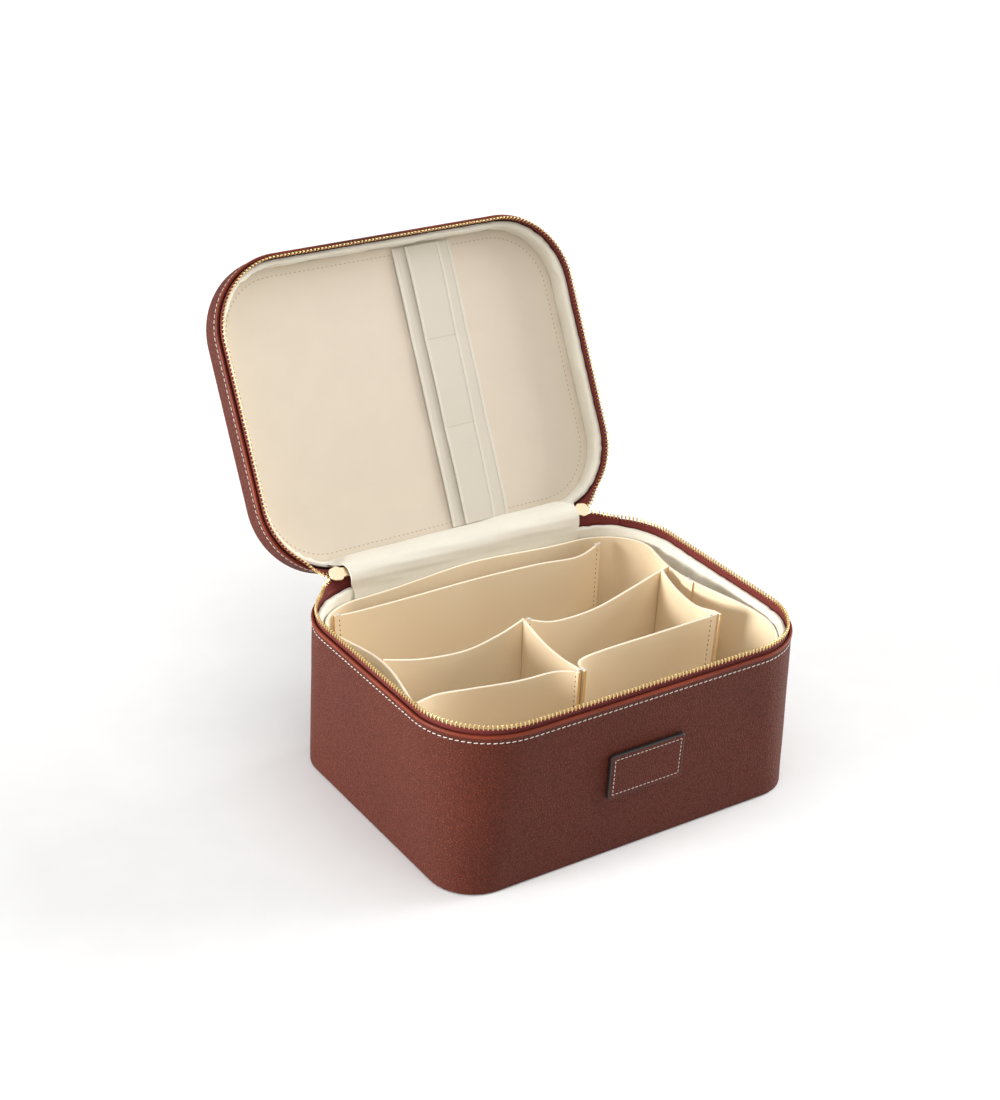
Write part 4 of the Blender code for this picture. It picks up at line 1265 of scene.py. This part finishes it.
# Points of each divider, as shares of the room inside the band, with the top's drop at each.
# A place across of -1 or +1 lies against the band on that side.
SHEETS = {
    "divider_mid_left": (
        (-1, 0.150, 0), (-0.758, 0.150, 0.7), (-0.488, 0.152, 1), (-0.271, 0.150, 0.6), (-0.117, 0.146, 0),
    ),
    "divider_mid_right": (
        (-0.0956, 0.146, 0), (0.11, 0.160, 0.8), (0.419, 0.200, 1), (0.715, 0.250, 0.6), (1, 0.290, 0),
    ),
    "divider_centre": (
        (-0.1063, 0.160, 0), (-0.119, -0.10, 0.35), (-0.131, -0.35, 0.3), (-0.1405, -0.520, 0.05),
        (-0.1415, -0.595, 0),
    ),
    "divider_right": (
        (0.949, 0.265, 0), (0.916, 0.02, 0.4), (0.85, -0.22, 0.35), (0.825, -0.400, 0), (0.825, -0.455, 0),
    ),
    "divider_front_right": (
        (-0.124, -0.620, 0), (-0.120, -0.57, 0.1), (-0.065, -0.455, 0.2), (0.11, -0.40, 0.35),
        (0.46, -0.385, 0.4), (0.70, -0.41, 0.2), (0.806, -0.440, 0),
    ),
    "divider_front_left": (
        (-0.159, -0.620, 0), (-0.165, -0.57, 0.1), (-0.241, -0.48, 0.3), (-0.425, -0.43, 0.5),
        (-0.673, -0.36, 0.5), (-0.866, -0.36, 0.2), (-1, -0.415, 0),
    ),
    "organiser_pocket": (
        (-0.880, 0.900, 0), (-0.74, 0.905, 0.25), (-0.45, 0.915, 0.4), (0, 0.92, 0.4),
        (0.38, 0.90, 0.5), (0.62, 0.865, 0.6), (0.795, 0.915, 0),
    ),
}


def bow(y, middle_share, reach):
    """How far the band is drawn in from the wall at a place along a side."""
    away = np.clip((y - middle_share * HALF_DEPTH) / BOW_LENGTH, -1, 1)
    return reach * (1 + np.cos(math.pi * away)) / 2


def smooth(points, steps):
    """A smooth line through points, with as many places as steps, plus one."""
    points = np.asarray(points, float)
    count = len(points) - 1
    at = np.linspace(0, count, steps + 1)
    index = np.minimum(at.astype(int), count - 1)
    t = (at - index)[:, None]
    before = points[np.maximum(index - 1, 0)]
    start = points[index]
    end = points[index + 1]
    after = points[np.minimum(index + 2, count)]
    return (2 * start + (end - before) * t + (2 * before - 5 * start + 4 * end - after) * t ** 2
            + (3 * start - before - 3 * end + after) * t ** 3) / 2


def inside_band(across, along, z):
    """Points at shares of the room inside the band at a height."""
    half_x, half_y, _ = case_size(z)
    inset = BAND_INSET + SHEET + 0.3 * MM
    y = along * (half_y - inset)
    room = half_x - inset - np.where(across < 0, bow(y, LEFT_BOW_SHARE, LEFT_BOW), bow(y, RIGHT_BOW_SHARE, RIGHT_BOW))
    return np.stack([across * (room - END_CLEARANCE), y, np.full_like(y, z)], axis=1)


def standing_sheet(name, foot, top, node, closed=False, thickness=SHEET):
    """A sheet of board that stands on one line and ends at another, with a rounded top edge coloured paler as a
    painted highlight.
    """

    def sides(line):
        if closed:
            step = np.roll(line, -1, axis=0) - np.roll(line, 1, axis=0)
        else:
            step = np.gradient(line, axis=0)
        return unit(np.stack([step[:, 1], -step[:, 0], np.zeros(len(line))], axis=1))

    half = thickness / 2
    out_foot = sides(foot)
    out_top = sides(top)
    levels = np.linspace(0, 1, 10)
    round_drop = 0.3 * MM

    def at(level, side, drop=0.0):
        line = foot + (top - foot) * level
        out = unit(out_foot * (1 - level) + out_top * level)
        return line + out * side - (0, 0, drop)

    rows = [at(level, half) for level in levels[:-1]]
    first_edge = len(rows)
    rounding = ((1.8, 1.0), (1, 0.98), (0.5, 0.86), (0.12, 0.55))
    rounding += ((0, 0),) + tuple((drop, -side) for drop, side in rounding[::-1])
    rows += [at(1.0, half * side, round_drop * drop) for drop, side in rounding]
    last_edge = len(rows) - 1
    rows += [at(level, -half) for level in levels[:-1][::-1]]
    grid = np.array(rows)
    along = lengths(top, closed)[:len(top)]
    heights = np.concatenate([levels[:-1], np.ones(len(rounding)), levels[:-1][::-1]])
    heights *= ORGANISER_TOP - ORGANISER_FOOT
    uv = np.stack(np.meshgrid(along, heights), axis=-1)
    # The rounded top edge takes the paler colour, a painted highlight
    item = surface(name, grid, [SKIN, SKIN_EDGE_PAINTED_HIGHLIGHT, SKIN_CORE], closed, True, uv, caps="" if closed else "u",
                   slot_of=lambda r: int(first_edge < r < last_edge - 1), cap_slot=2)
    return dressed(tidy_normals(item), "organiser", "cream_sheet", *([node] if node else []))


def divider_lines(name, steps=60):
    line = smooth(SHEETS[name], steps)
    across, along, dip = line.T
    pocket = name == "organiser_pocket"
    top_z = (POCKET_TOP if pocket else DIVIDER_TOP) - (SCALLOP / 2 if pocket else SCALLOP) * np.maximum(dip, 0)
    foot = inside_band(across, along, ORGANISER_FOOT)
    top = np.array([inside_band(a[None], b[None], z)[0] for a, b, z in zip(across, along, top_z)])
    return foot, top


def band_lines():
    """Foot and top of the sheet round the inside of the case."""
    lines = []
    for z in (ORGANISER_FOOT, ORGANISER_TOP):
        points, _ = ring(case_size, z, BAND_INSET + SHEET / 2)
        x, y = points[:, 0], points[:, 1]
        draw = np.where(x > 0, -bow(y, RIGHT_BOW_SHARE, RIGHT_BOW), bow(y, LEFT_BOW_SHARE, LEFT_BOW))
        lines.append(points + np.stack([draw, 0 * y, 0 * y], axis=1))
    foot, head = lines
    drop = BAND_SCALLOP * (1 - np.cos(4 * np.arctan2(head[:, 1], head[:, 0]))) / 2
    share = (1 - drop / (ORGANISER_TOP - ORGANISER_FOOT))[:, None]
    return foot, foot + (head - foot) * share


def make_organiser():
    foot, top = band_lines()
    standing_sheet("organiser_band_sheet", foot, top, "organiser_band", closed=True)
    for node in SHEETS:
        foot, top = divider_lines(node)
        standing_sheet(node + "_sheet", foot, top, node)
    make_seams()
    make_band_lap()


# Seams of the organiser: sheet, distance from the line's end, which end, and which side
SEAMS = (
    ("organiser_pocket", 3.2 * MM, 0, 1),
    ("organiser_pocket", 3.2 * MM, 1, 1),
    ("divider_front_right", 3.4 * MM, 1, 1),
    ("divider_front_right", 3.0 * MM, 0, 1),
    ("divider_mid_right", 3.0 * MM, 0, 1),
    ("divider_front_left", 3.0 * MM, 0, -1),
)
SEAM_PITCH = 3.1 * MM


def seam_frame(node, inset, end, side):
    """Foot and top of a seam on a sheet's face, with the way along the sheet and out of it."""
    foot, top = divider_lines(node, 160)
    if end:
        foot, top = foot[::-1], top[::-1]
    along = lengths(top, False)
    at = np.array([inset])
    low = sample(foot, along, at)[0]
    high = sample(top, along, at)[0]
    way = unit(sample(top, along, at + 1 * MM)[0] - high)
    out = unit(np.cross((0, 0, 1), way)) * (-side if end else side)
    return low, high, way, out


def make_seams():
    for number, (node, inset, end, side) in enumerate(SEAMS):
        low, high, way, out = seam_frame(node, inset, end, side)
        count = int((high[2] - low[2] - 4 * MM) / SEAM_PITCH)
        drops = 3.2 * MM + SEAM_PITCH * np.arange(count)
        up = (high - low) / (high[2] - low[2])
        for label, face in (("front", 1), ("back", -1)):
            at = high - up * drops[:, None] + out * face * (SHEET / 2 - 0.03 * MM)
            x = np.tile(up, (count, 1))
            z = np.tile(out * face, (count, 1))
            # Dark dots on both faces of the sheet, painted shade of the needle holes
            dots = copies(f"seam_{number}_{label}", capsule(1.2 * MM, 0.3 * MM), (at, x, np.cross(z, x), z), NEEDLE_HOLE_SHADE)
            dressed(dots, "organiser", "cream_sheet")
        knot(f"knot_{number}", high, way, out)


def knot(name, top, way, out):
    """Two turns of thread over a sheet's top edge."""
    at = []
    x = []
    for shift, lift, lean in ((-0.6, 0.25, 0.5), (0.4, 0.35, -0.4), (0.0, -0.8, 1.4)):
        at.append(top + way * shift * MM + (0, 0, lift * MM) + out * (SHEET / 2 if lean > 1 else 0))
        x.append(unit(out * math.cos(lean) + way * math.sin(lean)) if lean < 1 else np.array([0, 0, 1.0]))
    x = np.array(x)
    z = unit(np.array([[0, 0, 1.0], [0, 0, 1.0], out]))
    y = unit(np.cross(z, x))
    item = copies(name, capsule(2.7 * MM, 0.5 * MM, 1.0), (np.array(at), x, y, np.cross(x, y)), KNOT)
    dressed(item, "organiser", "cream_sheet")


LAP_Y = 4 * MM
LAP_HALF = 4.6 * MM
LAP_THICKNESS = 1.3 * MM


def make_band_lap():
    """The lapped end of the sheet round the inside, with its knot, on the right."""
    foot, top = band_lines()
    right = np.flatnonzero((top[:, 0] > 0) & (np.abs(top[:, 1] - LAP_Y) < 12 * MM))
    order = right[np.argsort(top[right, 1])]
    y = np.linspace(LAP_Y - LAP_HALF, LAP_Y + LAP_HALF, 14)
    lows = np.stack([np.interp(y, top[order, 1], foot[order, 0]), y, np.full_like(y, ORGANISER_FOOT)], axis=1)
    highs = np.stack([np.interp(y, top[order, 1], top[order, k]) if k != 1 else y for k in range(3)], axis=1)
    shift = ((SHEET + LAP_THICKNESS) / 2, 0, 0)
    standing_sheet("band_lap_sheet", lows - shift, highs - shift, None, thickness=LAP_THICKNESS)
    middle = highs[len(highs) // 2] - (SHEET / 2, 0, 0)
    knot("knot_band", middle, np.array([0, 1.0, 0]), np.array([-1.0, 0, 0]))


# Patch on the front
TAG_MIDDLE = 52 * MM
TAG_HALF = (24.5 * MM, 13.6 * MM)
TAG_CORNER = 1.6 * MM
TAG_CROWN = 0.15 * MM


def make_tag():
    """A bare leather patch with painted edges and a line of stitches, lying on the leaning wall."""
    lean = math.atan(FOOT_INSET / RIM)
    front = case_size(TAG_MIDDLE)[1]
    turn = np.array([[1, 0, 0], [0, math.cos(lean), -math.sin(lean)], [0, math.sin(lean), math.cos(lean)]])

    def outline(inset, steps=6):
        points = []
        for sx, sz, first in ((1, -1, -90), (1, 1, 0), (-1, 1, 90), (-1, -1, 180)):
            for k in range(steps + 1):
                angle = math.radians(first + 90 * k / steps)
                reach = max(TAG_CORNER - inset, 0.2 * MM)
                points.append((sx * (TAG_HALF[0] - inset - reach) + reach * math.cos(angle),
                               sz * (TAG_HALF[1] - inset - reach) + reach * math.sin(angle)))
        return np.array(points)

    def place(points, depth):
        flat = np.stack([points[:, 0], np.full(len(points), -depth), points[:, 1]], axis=1)
        return flat @ turn.T + (0, -front, TAG_MIDDLE)

    side = ((0.6, 0.35), (0, 0.4), (-0.1, 1.0), (-0.12, 1.7), (0, 2.4), (0.3, 2.75), (0.55, 2.82), (1.0, 2.9))
    rows = [place(outline(inset * MM), depth * MM) for inset, depth in side]
    edge = len(rows) - 2
    rows += [place(outline(1.0 * MM) * share, 2.9 * MM + TAG_CROWN * (1 - share))
             for share in (0.9, 0.7, 0.45, 0.2, 0.02)]
    patch = surface("tag_patch_leather", np.array(rows), [BLACK_EDGE, HIDE], True, False,
                    slot_of=lambda r: int(r >= edge), caps="v")
    dressed(tidy_normals(patch), "case", "brown_leather", "tag_patch")
    line = place(outline(2.6 * MM), 2.92 * MM)
    line = np.vstack([line, line[:1]])
    out = np.tile(turn @ np.array([0, -1.0, 0]), (len(line), 1))
    stitches("tag_stitches", line, out, "case", False, None, 0, 2.6 * MM, 1.7 * MM, 0.2 * MM)


def finish_hidden_boards():
    for name in ("wall_board", "floor_board", "lid_top_board", "lid_wall_board"):
        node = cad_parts[name]
        node.data.materials.clear()
        node.data.materials.append(CARD)


# Camera, lamps and floor
FOCAL_PIXELS = 2122.4
FRAME_HEIGHT_PIXELS = 1100


def make_camera():
    place = np.array([-0.610165, -0.838926, 0.668466])
    azimuth = math.radians(-34.333)
    elevation = math.radians(27.055)
    roll = math.radians(2.34)
    back = np.array([math.sin(azimuth) * math.cos(elevation), -math.cos(azimuth) * math.cos(elevation),
                     math.sin(elevation)])
    right = unit(np.cross(-back, (0, 0, 1)))
    up = np.cross(back, right)
    rolled_right = right * math.cos(roll) + up * math.sin(roll)
    rolled_up = up * math.cos(roll) - right * math.sin(roll)
    data = bpy.data.cameras.new("camera")
    data.sensor_fit = "VERTICAL"
    data.sensor_height = 36
    data.lens = data.sensor_height * FOCAL_PIXELS / FRAME_HEIGHT_PIXELS
    camera = linked("camera", data)
    camera.matrix_world = turned(rolled_right, rolled_up, back, place)
    bpy.context.scene.camera = camera


def sun(name, towards, strength, spread):
    """A distant lamp seen in the direction towards, with a soft edge of spread degrees."""
    data = bpy.data.lights.new(name, "SUN")
    data.energy = strength
    data.angle = math.radians(spread)
    back = unit(np.array(towards, float))
    right = unit(np.cross((0, 0, 1), back))
    linked(name, data).matrix_world = turned(right, np.cross(back, right), back)


def make_stage():
    size = 6
    floor = mesh_object("floor", [(-size, -size, 0), (size, -size, 0), (size, size, 0), (-size, size, 0)],
                        [[0, 1, 2, 3]], floor_material(), smooth=False)
    world = bpy.data.worlds.new("studio")
    bpy.context.scene.world = world
    world.use_nodes = True
    tree = world.node_tree
    background = tree.nodes["Background"]
    background.inputs["Color"].default_value = (1, 1, 1, 1)
    path = tree.nodes.new("ShaderNodeLightPath")
    strength = tree.nodes.new("ShaderNodeMix")
    strength.inputs["A"].default_value = 0.34
    strength.inputs["B"].default_value = 1.0
    tree.links.new(path.outputs["Is Camera Ray"], strength.inputs["Factor"])
    tree.links.new(strength.outputs["Result"], background.inputs["Strength"])
    sun("key", (-1, 0.16, 0.06), 6.6, 26)
    sun("rim", (1, -0.14, 0.2), 4.0, 40)
    sun("top", (-0.05, -0.36, 1), 1.65, 80)
    bpy.context.scene.view_settings.view_transform = "Standard"


def floor_material():
    made = principled("pale_floor", (0.93, 0.93, 0.92), 0.8)
    n = Nodes(made)
    n.colour(n.mix(n.ramp(n.noise(n.coordinates(), 40), 0.3, 0.7), (0.92, 0.92, 0.91), (0.94, 0.94, 0.93)))
    return made


make_wall()
make_rim_stitches()
make_bottom()
make_lid_shell()
make_linings()
make_lid_panel()
make_elastics()
make_hinge_strips()
make_zip()
make_organiser()
make_tag()
finish_hidden_boards()
make_camera()
make_stage()
